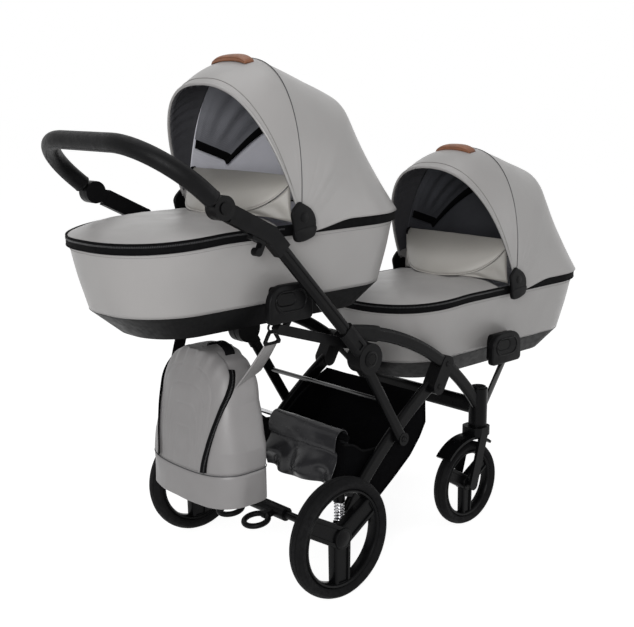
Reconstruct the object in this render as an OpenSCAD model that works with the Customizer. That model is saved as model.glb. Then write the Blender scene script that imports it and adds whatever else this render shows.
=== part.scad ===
// Tandem twin pram: two carrycots, one behind and above the other, on a folding frame with a hanging bag.
// Millimetres. +X is the way it is pushed, +Y its left side, +Z up, the floor at z = 0.
// Side-view points are [x, z] pairs, with x counted from the rear axle.

/* [Wheels] */
// Outer radius of the rear tyres
rear_wheel_r = 145; // [135:1:155]
// Width of the rear tyres
rear_tyre_w = 48; // [40:1:54]
// Middle plane of a rear wheel, from the pram's middle
rear_wheel_y = 277; // [274:1:300]
// Outer radius of the front tyres
front_wheel_r = 115; // [100:1:120]
// Width of the front tyres
front_tyre_w = 40; // [32:1:44]
// Middle plane of a front wheel, from the pram's middle
front_wheel_y = 209; // [205:1:215]
// Rear axle to front swivel, lengthwise
swivel_x = 592; // [580:1:610]
// Distance that a front wheel trails its swivel
caster_trail = 48; // [35:1:60]

/* [Frame] */
// Lengthwise place of the fold pivot
pivot_x = 135; // [125:1:145]
// Height of the fold pivot
pivot_z = 542; // [530:1:550]
// Middle plane of the handle uprights
upright_y = 235; // [235:1:240]
// Oval tube of the uprights, seen from the side
upright_w = 32; // [26:1:36]
// Oval tube of the uprights, thickness
upright_t = 18; // [14:1:18]
// Middle plane of the arches and legs
arch_y = 213; // [212:1:213]
// Oval tube of the arches, seen from the side
arch_w = 34; // [28:1:36]
// Oval tube of the rails, seen from the side
rail_w = 38; // [30:1:40]
// Middle plane of the side rails
rail_y = 195; // [194:1:195]
// Oval tube of the legs, seen from the side
leg_w = 30; // [24:1:34]

/* [Handle] */
// Reach of the handle from its hubs
handle_reach = 203; // [195:1:250]
// Radius of the soft grip
grip_r = 20; // [15:1:21]
// Bend radius of the handle's corners
handle_bend = 150; // [100:1:160]
// Radius of the adjusting hubs
hub_r = 26; // [22:1:29]

/* [Carrycots] */
// Length over the rim
cot_length = 840; // [800:2:860]
// Width over the rim
cot_width = 400; // [380:2:400]
// Height of the upper rim above the floor
rear_rim_z = 864; // [860:1:880]
// How far the lower carrycot stands ahead of the upper
cot_step_x = 792; // [780:1:810]
// How far the lower carrycot stands below the upper
cot_step_z = 240; // [232:1:244]
// Height of the soft wall
wall_h = 165; // [150:1:170]
// Depth of the moulded base below the wall
base_h = 57; // [45:1:60]
// Radius of the hood about its hinge
hood_r = 351; // [330:1:355]
// Rise of the apron over the rim
apron_rise = 20; // [16:1:34]
// Height of the wind flap over the rim
flap_h = 128; // [110:1:135]

/* [Bag] */
// Width of the bag
bag_w = 314; // [290:1:320]
// Height of the bag
bag_h = 358; // [330:1:365]
// Depth of the bag
bag_d = 161; // [140:1:165]

/* [Hidden] */
$fn = 64;
gap = 0.4;
run = 0.06;
lift_deg = 36;
lift_dir = [sin(lift_deg), cos(lift_deg)];

// Wheels and casters
rear_axle = [0, rear_wheel_r];
tyre_t = 26;
front_tyre_t = 22;
front_axle = [swivel_x - caster_trail, front_wheel_r];
stub_r = 6;
axle_r = 10;
pin_r = 5;
stem_r = 8;
crown_z = front_wheel_r + 129;
crown_top = crown_z + 24;
housing_r = 25;
housing_bottom = crown_top + gap;
housing_h = 104;
beam_z = housing_bottom + 50;
beam_h = 46;
beam_t = 22;

// Fold hub and uprights
pivot = [pivot_x, pivot_z];
fold_pin_r = 8;
hub_disc_r = 37;
upright_in = upright_y - 11;
up_dir = [-263, 286] / norm([-263, 286]);
knuckle_end = pivot + 110 * up_dir;
upright_top = pivot + 388 * up_dir;
sleeve_bend = upright_top + 53 * up_dir;
handle_hub = pivot + [-432, 392];
sleeve_dir = (handle_hub - sleeve_bend) / norm(handle_hub - sleeve_bend);
sleeve_end = handle_hub - (hub_r + 6) * sleeve_dir;
trigger_travel = 12;

// Arch, rails and legs
arch_t = 18;
leg_t = 16;
rail_t = 18;
arch_a = pivot + [15, 56];
arch_b = [391, 503];
arch_c = [swivel_x - 7, 326];
arch_mid = circle_mid(arch_a, arch_b, arch_c);
arch_r = norm(arch_a - arch_mid);
arch_from = heading(arch_c - arch_mid) - 2;
arch_to = heading(arch_a - arch_mid);
collar_deg = 3.2;
rail_a = [95, rear_axle[1] - 3];
rail_b = [230, 283];
rail_c = [405, 412];
rail_mid = circle_mid(rail_a, rail_b, rail_c);
rail_r = norm(rail_a - rail_mid);
rail_from = heading(rail_c - rail_mid);
rail_to = heading(rail_a - rail_mid);
rail_out = rail_y + rail_t / 2;
rail_in = rail_y - rail_t / 2;
leg_tip = [282, 303];
leg_dir = (leg_tip - pivot) / norm(leg_tip - pivot);
leg_top = pivot + 53 * leg_dir;
leg_in = arch_y - leg_t / 2;
leg_bar = leg_top + 95 * leg_dir;
clamp_top = [446, 468];
clamp_low = [414, 414];

// Suspension
susp_pin_r = 7;
arm_in = rear_wheel_y - 51;
arm_t = 12;
spring_x = 40;
spring_y = rear_wheel_y - 42;
spring_low = rear_axle[1] + 15;
spring_high = spring_low + 51;
spring_r = 11;
wire_r = 1.8;
spring_turns = 6;
seat_r = 14.5;

// Carrycots: local zero at the hinge's x and the rim's z
rear_cot = [-50, rear_rim_z];
front_cot = rear_cot + [cot_step_x, -cot_step_z];
rim_l = cot_length / 2;
rim_w = cot_width / 2;
rim_corner = rim_w - 15;
low_l = rim_l - 36;
low_w = rim_w - 42;
low_corner = low_w - 14;
keel_l = rim_l - 106;
keel_w = rim_w - 82;
keel_corner = keel_w - 15;
wall_t = 10;
pan_t = 5;
trim_h = 11;
trim_t = 4;
hinge_z = 21;
hood_y = rim_w + 12;
hood_t = 7;
hood_power = 2.4;
// Each hood: angle and radius of its seam, its rear bow and its visor's edge
rear_hood_shape = [86.5, hood_r, 46.5, hood_r + 14, 111, hood_r - 38];
front_hood_shape = [85.2, hood_r + 6, 48.5, hood_r + 28, 113, hood_r - 17];
hood_end = 83;
hood_pin_r = 6;
flap_x = -62;
bracket_mid = [-35, -152];
bracket_out = rim_w + 14;
post_y = rim_w - 2;
post_r = 8;
socket_mouth = [-29, -200];
socket_depth = 62;
button_mid = [-48, -150];
button_l = 52;
button_w = 26;
button_travel = 4;

// Front support and rear arms
front_mouth = front_cot + socket_mouth;
support_gap = 6;
support_x = max(front_mouth[0] - (front_mouth[1] - beam_z) * tan(lift_deg),
    swivel_x + beam_t / 2 + post_r + support_gap);
support_low = [support_x, front_mouth[1] - (front_mouth[0] - support_x) / tan(lift_deg)];
rear_mouth = rear_cot + socket_mouth;
rear_post = rear_mouth - 21 * lift_dir;
arm_end = rear_post + [-16, -1];
peg = arm_end;
arm_face = post_y - 9.5;
peg_r = 4;

// Bag
bag_front_x = rear_cot[0] - 38.5;
bag_back_x = bag_front_x - bag_d;
bag_top = rear_mouth[1] - 80.4;
bag_bottom = bag_top - bag_h;
bag_half = bag_w / 2;

// Basket, in side view, inside the rails
basket_y = rail_in;
basket_t = 3;
bar_at = [112, 336];
bar_r = 6;

// Handle
handle_deg = 140;
neck_y = upright_y + 11;
grip_from = hub_r + 4;
pivot_r = 6;
button_r = 13;

// The part's own zero: middle of its length
back_x = min(handle_hub[0] + handle_reach * cos(handle_deg) - grip_r, rear_cot[0] - rim_l - trim_t);
front_x = front_cot[0] + rim_l + trim_t;
mid_x = (back_x + front_x) / 2;

function heading(v) = atan2(v[1], v[0]);
function square_of(v) = v[0] * v[0] + v[1] * v[1];
function twice_area(a, b, c) =
    2 * (a[0] * (b[1] - c[1]) + b[0] * (c[1] - a[1]) + c[0] * (a[1] - b[1]));
function circle_mid(a, b, c) = [
    (square_of(a) * (b[1] - c[1]) + square_of(b) * (c[1] - a[1]) + square_of(c) * (a[1] - b[1]))
        / twice_area(a, b, c),
    (square_of(a) * (c[0] - b[0]) + square_of(b) * (a[0] - c[0]) + square_of(c) * (b[0] - a[0]))
        / twice_area(a, b, c)
];

// Shared shapes

module place() translate([-mid_x, 0, 0]) children();

module both_sides() {
    children();
    mirror([0, 1, 0]) children();
}

module side(left) mirror([0, left ? 0 : 1, 0]) children();

module at(p) translate([p[0], 0, p[1]]) children();

module stadium(w, t) {
    square([w - t, t], center = true);
    for (s = [-1, 1]) translate([s * (w - t) / 2, 0]) circle(d = t);
}

module rounded(l, w, r) {
    square([2 * (l - r), 2 * w], center = true);
    square([2 * l, 2 * (w - r)], center = true);
    for (i = [-1, 1], j = [-1, 1]) translate([i * (l - r), j * (w - r)]) circle(r = r);
}

// A side-view outline between two planes of y
module slab(y0, y1) translate([0, y1, 0]) rotate([90, 0, 0]) linear_extrude(y1 - y0) children();

module disc(c, r, y0, y1) translate([c[0], y0, c[1]]) rotate([-90, 0, 0]) cylinder(r = r, h = y1 - y0);

// An oval tube between two side-view points
module oval_bar(p, q, w, t, y) {
    d = q - p;
    translate([p[0], y, p[1]]) rotate([0, atan2(d[0], d[1]), 0]) linear_extrude(norm(d)) stadium(w, t);
}

module rod(p, q, r, y) {
    d = q - p;
    translate([p[0], y, p[1]]) rotate([0, atan2(d[0], d[1]), 0]) cylinder(r = r, h = norm(d));
}

// A flat link between two side-view points, drawn as an outline
module link(p, q, w) {
    d = q - p;
    translate(p) rotate(heading(d)) translate([0, 0.25 - w / 2]) square([norm(d), w - 0.5]);
    translate(p) circle(d = w);
    translate(q) circle(d = w);
}

// A flat strip with square ends
module strip(p, q, w) translate(p) rotate(heading(q - p)) translate([0, -w / 2]) square([norm(q - p), w]);

// An oval tube along a circle in side view
module oval_arc(c, r, from, to, w, t, y)
    translate([c[0], y, c[1]]) rotate([90, 0, 0]) rotate([0, 0, from])
        rotate_extrude(angle = to - from, $fn = 128) translate([r, 0]) stadium(w, t);

// Frame

module rail_body() {
    oval_arc(rail_mid, rail_r, rail_from, rail_to, rail_w, rail_t, rail_y);
    disc(rail_a, rail_w / 2 + 1.5, rail_in - 1, rail_out + 1);
}

module side_rails() place() color([0.07, 0.07, 0.08]) both_sides() {
    rail_body();
    disc(rail_a, susp_pin_r, rail_out - 1, arm_in + arm_t + 2);
    hanger = [spring_x, spring_high + 11];
    slab(rail_in + 2, rail_out - 2) link(rail_a + [46, 52], hanger, 20);
    slab(rail_out - 5, spring_y) translate([hanger[0], hanger[1]]) square([20, 13], center = true);
    translate([spring_x, spring_y, spring_high]) cylinder(r = seat_r, h = 22);
}

module arch_body() oval_arc(arch_mid, arch_r, arch_from, arch_to - collar_deg, arch_w, arch_t, arch_y);

module arch_tubes() place() color([0.07, 0.07, 0.08]) both_sides() difference() {
    arch_body();
    translate([swivel_x, front_wheel_y, housing_bottom]) cylinder(r = housing_r, h = housing_h);
}

module leg_tubes() place() color([0.07, 0.07, 0.08]) both_sides() {
    oval_bar(leg_top, leg_tip, leg_w, leg_t, arch_y);
    disc(leg_tip, leg_w / 2 + 2, rail_out, arch_y + leg_t / 2 + 1);
}

module leg_crossbar() place() color([0.12, 0.12, 0.13])
    translate([leg_bar[0], -leg_in, leg_bar[1]]) rotate([-90, 0, 0]) cylinder(r = 6, h = 2 * leg_in);

module fold_hubs() place() color([0.1, 0.1, 0.11]) both_sides() {
    inner = arch_y - arch_t / 2 - 1;
    outer = upright_in - gap;
    disc(pivot, hub_disc_r, inner, outer);
    oval_arc(arch_mid, arch_r, arch_to - collar_deg, arch_to + 4, arch_w + 6, arch_t, arch_y);
    slab(arch_y - arch_t / 2 + 1, arch_y + arch_t / 2 - 1) link(pivot, arch_a + [-22, -14], 44);
    oval_bar(pivot, leg_top, leg_w + 6, arch_t + 1, arch_y);
    disc(pivot, fold_pin_r, outer - 1, upright_y + 10);
    // Arm, post and bag peg under the upper carrycot
    slab(arm_face, post_y + 9.5) link(pivot + [-14, 30], arm_end, 24);
    slab(post_y, arch_y) translate(pivot + [-14, 30]) circle(r = 10);
    rod(rear_post, rear_mouth + (socket_depth - 6) * lift_dir, post_r, post_y);
    disc(peg, peg_r, bag_half + 19, post_y);
}

module arch_clamps() place() color([0.1, 0.1, 0.11]) both_sides() difference() {
    slab(rail_in - 2, upright_in - 0.6) link(clamp_low, clamp_top, 44);
    oval_arc(arch_mid, arch_r, arch_from, arch_to - collar_deg, arch_w, arch_t, arch_y);
    rail_body();
}

module front_beam() place() color([0.08, 0.08, 0.09]) difference() {
    union() {
        translate([swivel_x, 0, beam_z]) rotate([90, 0, 0])
            linear_extrude(2 * front_wheel_y, center = true) rotate(90) stadium(beam_h, beam_t);
        both_sides() translate([swivel_x, front_wheel_y, housing_bottom]) {
            cylinder(r = housing_r, h = housing_h);
            translate([0, 0, housing_h]) cylinder(r = housing_r - 5, h = 5);
        }
    }
    both_sides() translate([swivel_x, front_wheel_y, housing_bottom - 1])
        cylinder(r = stem_r + run, h = housing_h - 15);
}

module front_support_tube() place() color([0.05, 0.05, 0.06]) {
    translate([support_low[0], -post_y, support_low[1]]) rotate([-90, 0, 0])
        cylinder(r = post_r, h = 2 * post_y);
    both_sides() {
        translate([support_low[0], post_y, support_low[1]]) sphere(r = post_r);
        rod(support_low, front_mouth + (socket_depth - 6) * lift_dir, post_r, post_y);
        slab(92, 114) strip([swivel_x + beam_t / 2, beam_z], support_low, 12);
    }
}

module basket_outline(e) polygon([
    bar_at + [-8 + e, 8], [104 + e, 214 + e / 2], [228, 146 + 1.2 * e], [348 - e, 232 + 1.2 * e],
    [406 - e, 308], [402 - e, 392], rail_b + [60, 46], rail_b + [0, 2], rail_b + [-60, 4]
]);

module basket() place() color([0.06, 0.06, 0.06]) difference() {
    slab(-basket_y, basket_y) basket_outline(0);
    slab(-basket_y + basket_t, basket_y - basket_t) {
        basket_outline(basket_t);
        polygon([bar_at + [-8 + basket_t, 8], bar_at + [0, 120], rail_c + [-3 - basket_t, 80],
            [402 - basket_t, 392], rail_b + [0, -20]]);
    }
}

module basket_flap() place() color([0.2, 0.2, 0.2]) {
    at([bar_at[0] + 8, bar_at[1] - 2]) {
        rotate([90, 0, 0]) cylinder(r = bar_r, h = 2 * (basket_y - basket_t), center = true);
        rotate([90, 0, 0]) cylinder(r = 13, h = 2 * basket_y - 40, center = true);
    }
    slab(-basket_y + 20, basket_y - 20)
        polygon([[bar_at[0] + 10, bar_at[1]], [bar_at[0] + 14, bar_at[1]], [118, 224], [114, 224]]);
}

// Rear axle with its trailing arms, springs and brake

module rear_axle_frame() place() color([0.08, 0.08, 0.09]) difference() {
    union() {
        disc(rear_axle, axle_r, -(rear_wheel_y - 22.5), rear_wheel_y - 22.5);
        disc(rear_axle, stub_r, -(rear_wheel_y + 13), rear_wheel_y + 13);
        both_sides() {
            slab(arm_in, arm_in + arm_t) link(rear_axle, rail_a, 28);
            translate([spring_x, spring_y, spring_low - gap - 20]) cylinder(r = seat_r, h = 20);
        }
    }
    both_sides() disc(rail_a, susp_pin_r + run, arm_in - 1, arm_in + arm_t + 1);
}

spring_rings = spring_turns * 8;
spring_sides = 6;
spring_rise = spring_high - spring_low - 2 * wire_r;
spring_pts = [for (i = [0 : spring_rings], k = [0 : spring_sides - 1])
    let (a = 360 * i / 8, b = 360 * k / spring_sides, r = spring_r + wire_r * cos(b))
    [r * cos(a), r * sin(a), wire_r + spring_rise * i / spring_rings + wire_r * sin(b)]];
spring_skin = [for (i = [0 : spring_rings - 1], k = [0 : spring_sides - 1])
    let (m = (k + 1) % spring_sides, p = i * spring_sides)
    each [[p + k, p + spring_sides + k, p + m], [p + m, p + spring_sides + k, p + spring_sides + m]]];
spring_ends = [
    [for (k = [0 : spring_sides - 1]) k],
    [for (k = [spring_sides - 1 : -1 : 0]) spring_rings * spring_sides + k]
];
spring_gap = min([for (i = [0 : spring_rings - 8], k = [0 : spring_sides - 1], m = [0 : spring_sides - 1])
    norm(spring_pts[i * spring_sides + k] - spring_pts[(i + 8) * spring_sides + m])]);
echo(spring_least_gap = spring_gap);
echo(mid_x = mid_x);

module rear_springs() place() color([0.8, 0.8, 0.82]) both_sides()
    translate([spring_x, spring_y, spring_low]) polyhedron(spring_pts, concat(spring_skin, spring_ends));

module brake_pedal() place() color([0.08, 0.08, 0.08]) difference() {
    union() {
        disc(rear_axle, 17, -92, 92);
        for (y = [-50, 50]) {
            slab(y - 7, y + 7) link(rear_axle, rear_axle + [-34, -4], 18);
            translate([rear_axle[0] - 63, y, rear_axle[1] - 8]) rotate([0, -10, 0])
                rotate_extrude() translate([30, 0]) circle(r = 7);
        }
    }
    disc(rear_axle, axle_r + run, -93, 93);
}

// Wheels

module spoked_rim(r, half, hub, bore, bore_from, bore_to, cap) rotate([-90, 0, 0]) {
    difference() {
        union() {
            difference() {
                cylinder(r = r, h = 2 * half - 8, center = true, $fn = 96);
                cylinder(r = r - 10, h = 2 * half, center = true, $fn = 96);
            }
            for (a = [90, 210, 330]) rotate(a) for (s = [-1, 1])
                translate([0, s * hub * 0.42 - hub * 0.24, -half * 0.4])
                    cube([r - 5, hub * 0.48, half * 0.95]);
            translate([0, 0, bore_from]) cylinder(r = hub, h = half - 2 - bore_from);
            translate([0, 0, half - 3]) cylinder(r = hub - 2, h = cap);
        }
        translate([0, 0, bore_from - 1]) cylinder(r = bore, h = bore_to - bore_from + 1);
    }
}

module round_tyre(r, w, t) rotate([90, 0, 0]) rotate_extrude($fn = 96) intersection() {
    translate([r - w / 2, 0]) circle(d = w);
    translate([r - t, -w]) square([t + 1, 2 * w]);
}

module rear_rim(left) place() color([0.06, 0.06, 0.06]) side(left)
    translate([rear_axle[0], rear_wheel_y, rear_axle[1]])
        spoked_rim(rear_wheel_r - tyre_t, rear_tyre_w / 2, 27, stub_r + run, -22, 14, 8);

module rear_rim_left() rear_rim(true);
module rear_rim_right() rear_rim(false);

module rear_tyre(left) place() color([0.1, 0.1, 0.1]) side(left)
    translate([rear_axle[0], rear_wheel_y, rear_axle[1]]) round_tyre(rear_wheel_r, rear_tyre_w, tyre_t);

module rear_tyre_left() rear_tyre(true);
module rear_tyre_right() rear_tyre(false);

fork_in = front_tyre_w / 2 + 4;
fork_t = 8;

module front_rim(left) place() color([0.06, 0.06, 0.06]) side(left)
    translate([front_axle[0], front_wheel_y, front_axle[1]]) difference() {
        spoked_rim(front_wheel_r - front_tyre_t, front_tyre_w / 2, 20, pin_r + run,
            -fork_in + gap, fork_in + 4, fork_in - front_tyre_w / 2 + 3 - gap);
    }

module front_rim_left() front_rim(true);
module front_rim_right() front_rim(false);

module front_tyre(left) place() color([0.1, 0.1, 0.1]) side(left)
    translate([front_axle[0], front_wheel_y, front_axle[1]])
        round_tyre(front_wheel_r, front_tyre_w, front_tyre_t);

module front_tyre_left() front_tyre(true);
module front_tyre_right() front_tyre(false);

module fork(left) place() color([0.08, 0.08, 0.09]) side(left) translate([0, front_wheel_y, 0]) {
    translate([swivel_x, 0, crown_top - 4]) cylinder(r = stem_r, h = housing_h - 18);
    translate([swivel_x - 6, 0, crown_z]) linear_extrude(crown_top - crown_z)
        rounded(32, fork_in + fork_t, 20);
    for (s = [-1, 1]) {
        slab(s * (fork_in + fork_t / 2) - fork_t / 2, s * (fork_in + fork_t / 2) + fork_t / 2)
            link([swivel_x - 8, crown_z + 6], front_axle, 30);
    }
    disc(front_axle, pin_r, -fork_in - 1, fork_in + 1);
    translate([front_axle[0], 0, front_axle[1]]) rotate([90, 0, 0]) rotate([0, 0, 52])
        rotate_extrude(angle = 84, $fn = 96) translate([front_wheel_r + 10, -fork_in]) square([7, 2 * fork_in]);
}

module fork_left() fork(true);
module fork_right() fork(false);

// Folding upper frame and handle

module uprights() place() color([0.08, 0.08, 0.09]) both_sides() difference() {
    oval_bar(knuckle_end, upright_top, upright_w, upright_t, upright_y);
    // Groove along the outer face
    translate([0, upright_y + upright_t / 2 - 1.5, 0]) slab(0, 5) strip(knuckle_end, upright_top, 8);
}

module fold_knuckles() place() color([0.09, 0.09, 0.1]) both_sides() difference() {
    union() {
        disc(pivot, hub_disc_r + 1, upright_in, upright_y + 12);
        oval_bar(pivot, knuckle_end, 44, 22, upright_y);
    }
    disc(pivot, fold_pin_r + run, upright_in - 1, upright_y + 10.5);
    slab(upright_y + 8, upright_y + 13) translate(pivot + [-38, 40]) rotate(-47) square([22, 16], center = true);
}

module handle_sockets() place() color([0.09, 0.09, 0.1]) both_sides() difference() {
    union() {
        slab(upright_in, upright_y + 11) {
            strip(upright_top, sleeve_bend, 38);
            translate(sleeve_bend) circle(d = 38.8);
            strip(sleeve_bend, sleeve_end, 38);
        }
        slab(upright_in + 1, upright_y + 2) {
            strip(sleeve_end - 4 * sleeve_dir, handle_hub, 30);
            translate(handle_hub) circle(r = hub_r);
        }
        disc(handle_hub, pivot_r, upright_y, upright_y + 14);
    }
    // Keyway for the fold trigger
    translate([sleeve_bend[0], upright_y, sleeve_bend[1]]) rotate([0, -heading(sleeve_dir), 0])
        translate([6, -2.4, 10]) cube([40 + trigger_travel, 4.8, 20]);
}

// The trigger rides under the sleeve; its key runs in the sleeve
module trigger(left) place() color([0.05, 0.05, 0.05]) side(left)
    translate([sleeve_bend[0], upright_y, sleeve_bend[1]]) rotate([0, -heading(sleeve_dir), 0]) {
        translate([7, -2, 11]) cube([38, 4, 14]);
        translate([7, -9, 19 + gap]) cube([40, 18, 8]);
        translate([7, 9, 26]) rotate([90, 0, 0]) linear_extrude(18) {
            translate([0, 0]) square([9, 20]);
            translate([9, 20]) circle(r = 9);
        }
    }

module trigger_left() trigger(true);
module trigger_right() trigger(false);

// The handle's bow, flat in its own plane: x along the reach
module bow(r, from) {
    straight = handle_reach - handle_bend;
    half = neck_y - handle_bend;
    both_sides() {
        translate([from, neck_y, 0]) rotate([0, 90, 0]) cylinder(r = r, h = straight - from);
        translate([straight, half, 0]) rotate_extrude(angle = 90) translate([handle_bend, 0]) circle(r = r);
    }
    translate([handle_reach, half, 0]) rotate([90, 0, 0]) cylinder(r = r, h = 2 * half);
}

module handle_frame() translate([handle_hub[0], 0, handle_hub[1]]) rotate([0, -handle_deg, 0]) children();

module handle_tube() place() color([0.08, 0.08, 0.09]) handle_frame() difference() {
    union() {
        bow(8, hub_r - 8);
        both_sides() translate([0, upright_y + 2 + gap, 0]) rotate([-90, 0, 0]) cylinder(r = hub_r, h = 21);
    }
    both_sides() {
        translate([0, upright_y, 0]) rotate([-90, 0, 0]) cylinder(r = pivot_r + run, h = 14.6);
        translate([0, upright_y + 17, 0]) rotate([-90, 0, 0]) cylinder(r = button_r + run, h = 10);
    }
}

module handle_grip() place() color([0.04, 0.04, 0.04]) handle_frame() difference() {
    bow(grip_r, grip_from);
    bow(8, grip_from - 1);
}

module handle_button(left) place() color([0.06, 0.06, 0.06]) side(left)
    translate([handle_hub[0], upright_y + 20.5, handle_hub[1]]) rotate([-90, 0, 0]) cylinder(r = button_r, h = 6);

module handle_button_left() handle_button(true);
module handle_button_right() handle_button(false);

// Bag with its straps

bag_taper = 24;
strap_lean = 9;

module bag_solid() intersection() {
    translate([(bag_front_x + bag_back_x) / 2, 0, bag_bottom]) linear_extrude(bag_h) {
        rounded(bag_d / 2, bag_half, 76);
        translate([bag_d / 4, 0]) rounded(bag_d / 4, bag_half, 18);
    }
    translate([bag_back_x - 5, 0, bag_top]) rotate([90, 0, 90]) linear_extrude(bag_d + 10) {
        translate([0, -120]) rounded(bag_half - bag_taper, 120, 110);
        polygon([[-bag_half, -bag_h], [bag_half, -bag_h], [bag_half, 140 - bag_h],
            [bag_half - bag_taper - 0.5, -114], [0.5 + bag_taper - bag_half, -114], [-bag_half, 140 - bag_h]]);
    }
}

module bag() place() color([0.5, 0.49, 0.48]) bag_solid();

// Each strap leans in from its eye on the peg to the bag's side
module bag_straps() place() color([0.5, 0.49, 0.48]) both_sides() difference() {
    union() {
        translate([0, bag_half, peg[1]]) rotate([-strap_lean, 0, 0]) translate([0, -bag_half, -peg[1]])
            slab(bag_half, bag_half + 3) link(peg, peg + [-75, -180], 36);
        disc(peg, 9, bag_half, arm_face - gap);
    }
    disc(peg, peg_r + run, bag_half + 18, post_y);
    bag_solid();
}

// Carrycots, in local coordinates

module plan_plate(l, w, r, z) translate([0, 0, z]) linear_extrude(1) rounded(l, w, r);

module wall_outer(grow) hull() {
    plan_plate(rim_l - grow, rim_w - grow, rim_corner - grow, -1);
    plan_plate(low_l - grow, low_w - grow, low_corner - grow, -wall_h);
}

module base_outer(grow) hull() {
    plan_plate(low_l - grow, low_w - grow, low_corner - grow, -wall_h - 1);
    plan_plate(keel_l - grow, keel_w - grow, keel_corner - grow, -wall_h - base_h + grow);
}

module cot_base() difference() {
    base_outer(0);
    translate([0, 0, 1.5]) base_outer(pan_t);
}

module cot_wall() {
    difference() {
        wall_outer(0);
        translate([0, 0, 1]) wall_outer(wall_t);
        translate([0, 0, -1]) wall_outer(wall_t);
    }
    linear_extrude(10) difference() {
        rounded(rim_l, rim_w, rim_corner);
        rounded(rim_l - wall_t, rim_w - wall_t, rim_corner - wall_t);
    }
}

module cot_trim() translate([0, 0, -trim_h]) linear_extrude(2 * trim_h) difference() {
    rounded(rim_l + trim_t, rim_w + trim_t, rim_corner + trim_t);
    rounded(rim_l, rim_w, rim_corner);
}

module apron_outer(grow) hull() {
    plan_plate(rim_l - grow, rim_w - grow, rim_corner - grow, 10);
    plan_plate(rim_l - 34, rim_w - 30, rim_corner - 30, 10 + apron_rise * 0.55 - grow);
    plan_plate(rim_l - 110, rim_w - 90, rim_corner - 90, 9 + apron_rise - grow);
}

module cot_apron() difference() {
    intersection() {
        apron_outer(0);
        translate([-rim_l - 10, -rim_w - 10, 0]) cube([rim_l + 10 + flap_x, 2 * rim_w + 20, 100]);
    }
    translate([0, 0, -1]) apron_outer(6);
}

// Wind flap: a padded shield that leans back from the apron to its raised top corners
flap_cols = 24;
flap_rows = 6;
flap_foot = 8 + apron_rise;
flap_in = [7, 0, -5.5];

function flap_low(s, top) = [-7.5 - 111 * (1 - pow(abs(s), 1.86)), 184 * s,
    flap_foot + (top - 16 - flap_foot) * pow(abs(s), 4)];
function flap_high(s, top) = [2 + 6 * s * s, 190 * s, top - 3 * s * s];
function flap_pt(s, v, top) = flap_low(s, top) * (1 - v) + flap_high(s, top) * v
    + [-0.66, 0, 0.5] * (24 * sin(180 * pow(v, 0.75)) * (1 - pow(abs(s), 2.5)));

module flap_shell(top) {
    w = flap_rows + 1;
    n = (flap_cols + 1) * w;
    skin = [for (i = [0 : flap_cols], j = [0 : flap_rows])
        flap_pt(2 * i / flap_cols - 1, j / flap_rows, top)];
    quads = [for (i = [0 : flap_cols - 1], j = [0 : flap_rows - 1])
        [i * w + j, (i + 1) * w + j, (i + 1) * w + j + 1, i * w + j + 1]];
    sides = [for (j = [0 : flap_rows - 1]) each [[j, j + 1], [flap_cols * w + j + 1, flap_cols * w + j]]];
    ends = [for (i = [0 : flap_cols - 1]) each [[(i + 1) * w, i * w],
        [i * w + flap_rows, (i + 1) * w + flap_rows]]];
    polyhedron(
        points = concat(skin, [for (p = skin) p + flap_in]),
        faces = concat(
            [for (q = quads) each [[q[0], q[1], q[2]], [q[0], q[2], q[3]]]],
            [for (q = quads) each [[n + q[2], n + q[1], n + q[0]], [n + q[3], n + q[2], n + q[0]]]],
            [for (e = concat(sides, ends)) each [[e[0], e[1], n + e[1]], [e[0], n + e[1], n + e[0]]]]
        )
    );
}

module cot_flap(top) difference() {
    flap_shell(top);
    apron_outer(0);
}

module cot_mattress() {
    floor_z = -wall_h - base_h + pan_t + 1.5;
    hull() {
        plan_plate(keel_l - 14, keel_w - 14, keel_corner - 14, floor_z);
        plan_plate(keel_l + 2, keel_w + 2, keel_corner + 2, floor_z + 20);
        plan_plate(keel_l - 4, keel_w - 4, keel_corner - 4, floor_z + 36);
        plan_plate(keel_l - 60, keel_w - 60, keel_corner - 60, floor_z + 46);
    }
}

module cot_brackets() both_sides() difference() {
    slab(rim_w - 42, bracket_out) translate(bracket_mid) rounded(67, 48, 22);
    wall_outer(0);
    base_outer(0);
    translate([socket_mouth[0], post_y, socket_mouth[1]]) rotate([0, lift_deg, 0])
        translate([0, 0, -20]) cylinder(r = post_r + gap, h = socket_depth + 20);
    slab(bracket_out - 14, bracket_out + 1) translate(button_mid)
        stadium(button_l + 2 * gap, button_w + 2 * gap);
}

module cot_button(left) side(left)
    slab(bracket_out - 9, bracket_out - 1) translate(button_mid) stadium(button_l, button_w);

// Half of a hood's arch, filled: a flattened round with its feet on the hinge line
module arch_outline(r, in) polygon([for (i = [-16 : 16]) let (a = i * 90 / 16)
    [(r - in) * pow(max(cos(a), 0), 2 / hood_power),
        sign(a) * (hood_y - 1 - in) * pow(abs(sin(a)), 2 / hood_power)]]);

// A thin plate of that arch, standing at an angle about the hinge
module arch_plate(deg, r, in) translate([0, 0, hinge_z]) rotate([90, 0, 0]) rotate([0, 0, deg])
    rotate([90, 0, 0]) linear_extrude(0.4, center = true) arch_outline(r, in);

module visor_skin(k, in, over) hull() {
    arch_plate(k[0] - over, k[1], in);
    arch_plate((k[0] + k[4]) / 2, k[1] * 0.66 + k[5] * 0.34, in);
    arch_plate(k[4] + over, k[5], in);
}

module cot_hood_front(k) difference() {
    union() {
        difference() {
            visor_skin(k, 0, 0);
            visor_skin(k, hood_t, 3);
        }
        both_sides() disc([0, hinge_z], 24, hood_y - hood_t - 0.6, hood_y);
    }
    both_sides() disc([0, hinge_z], hood_pin_r + run, hood_y - hood_t - 2, hood_y + 1);
}

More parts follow.
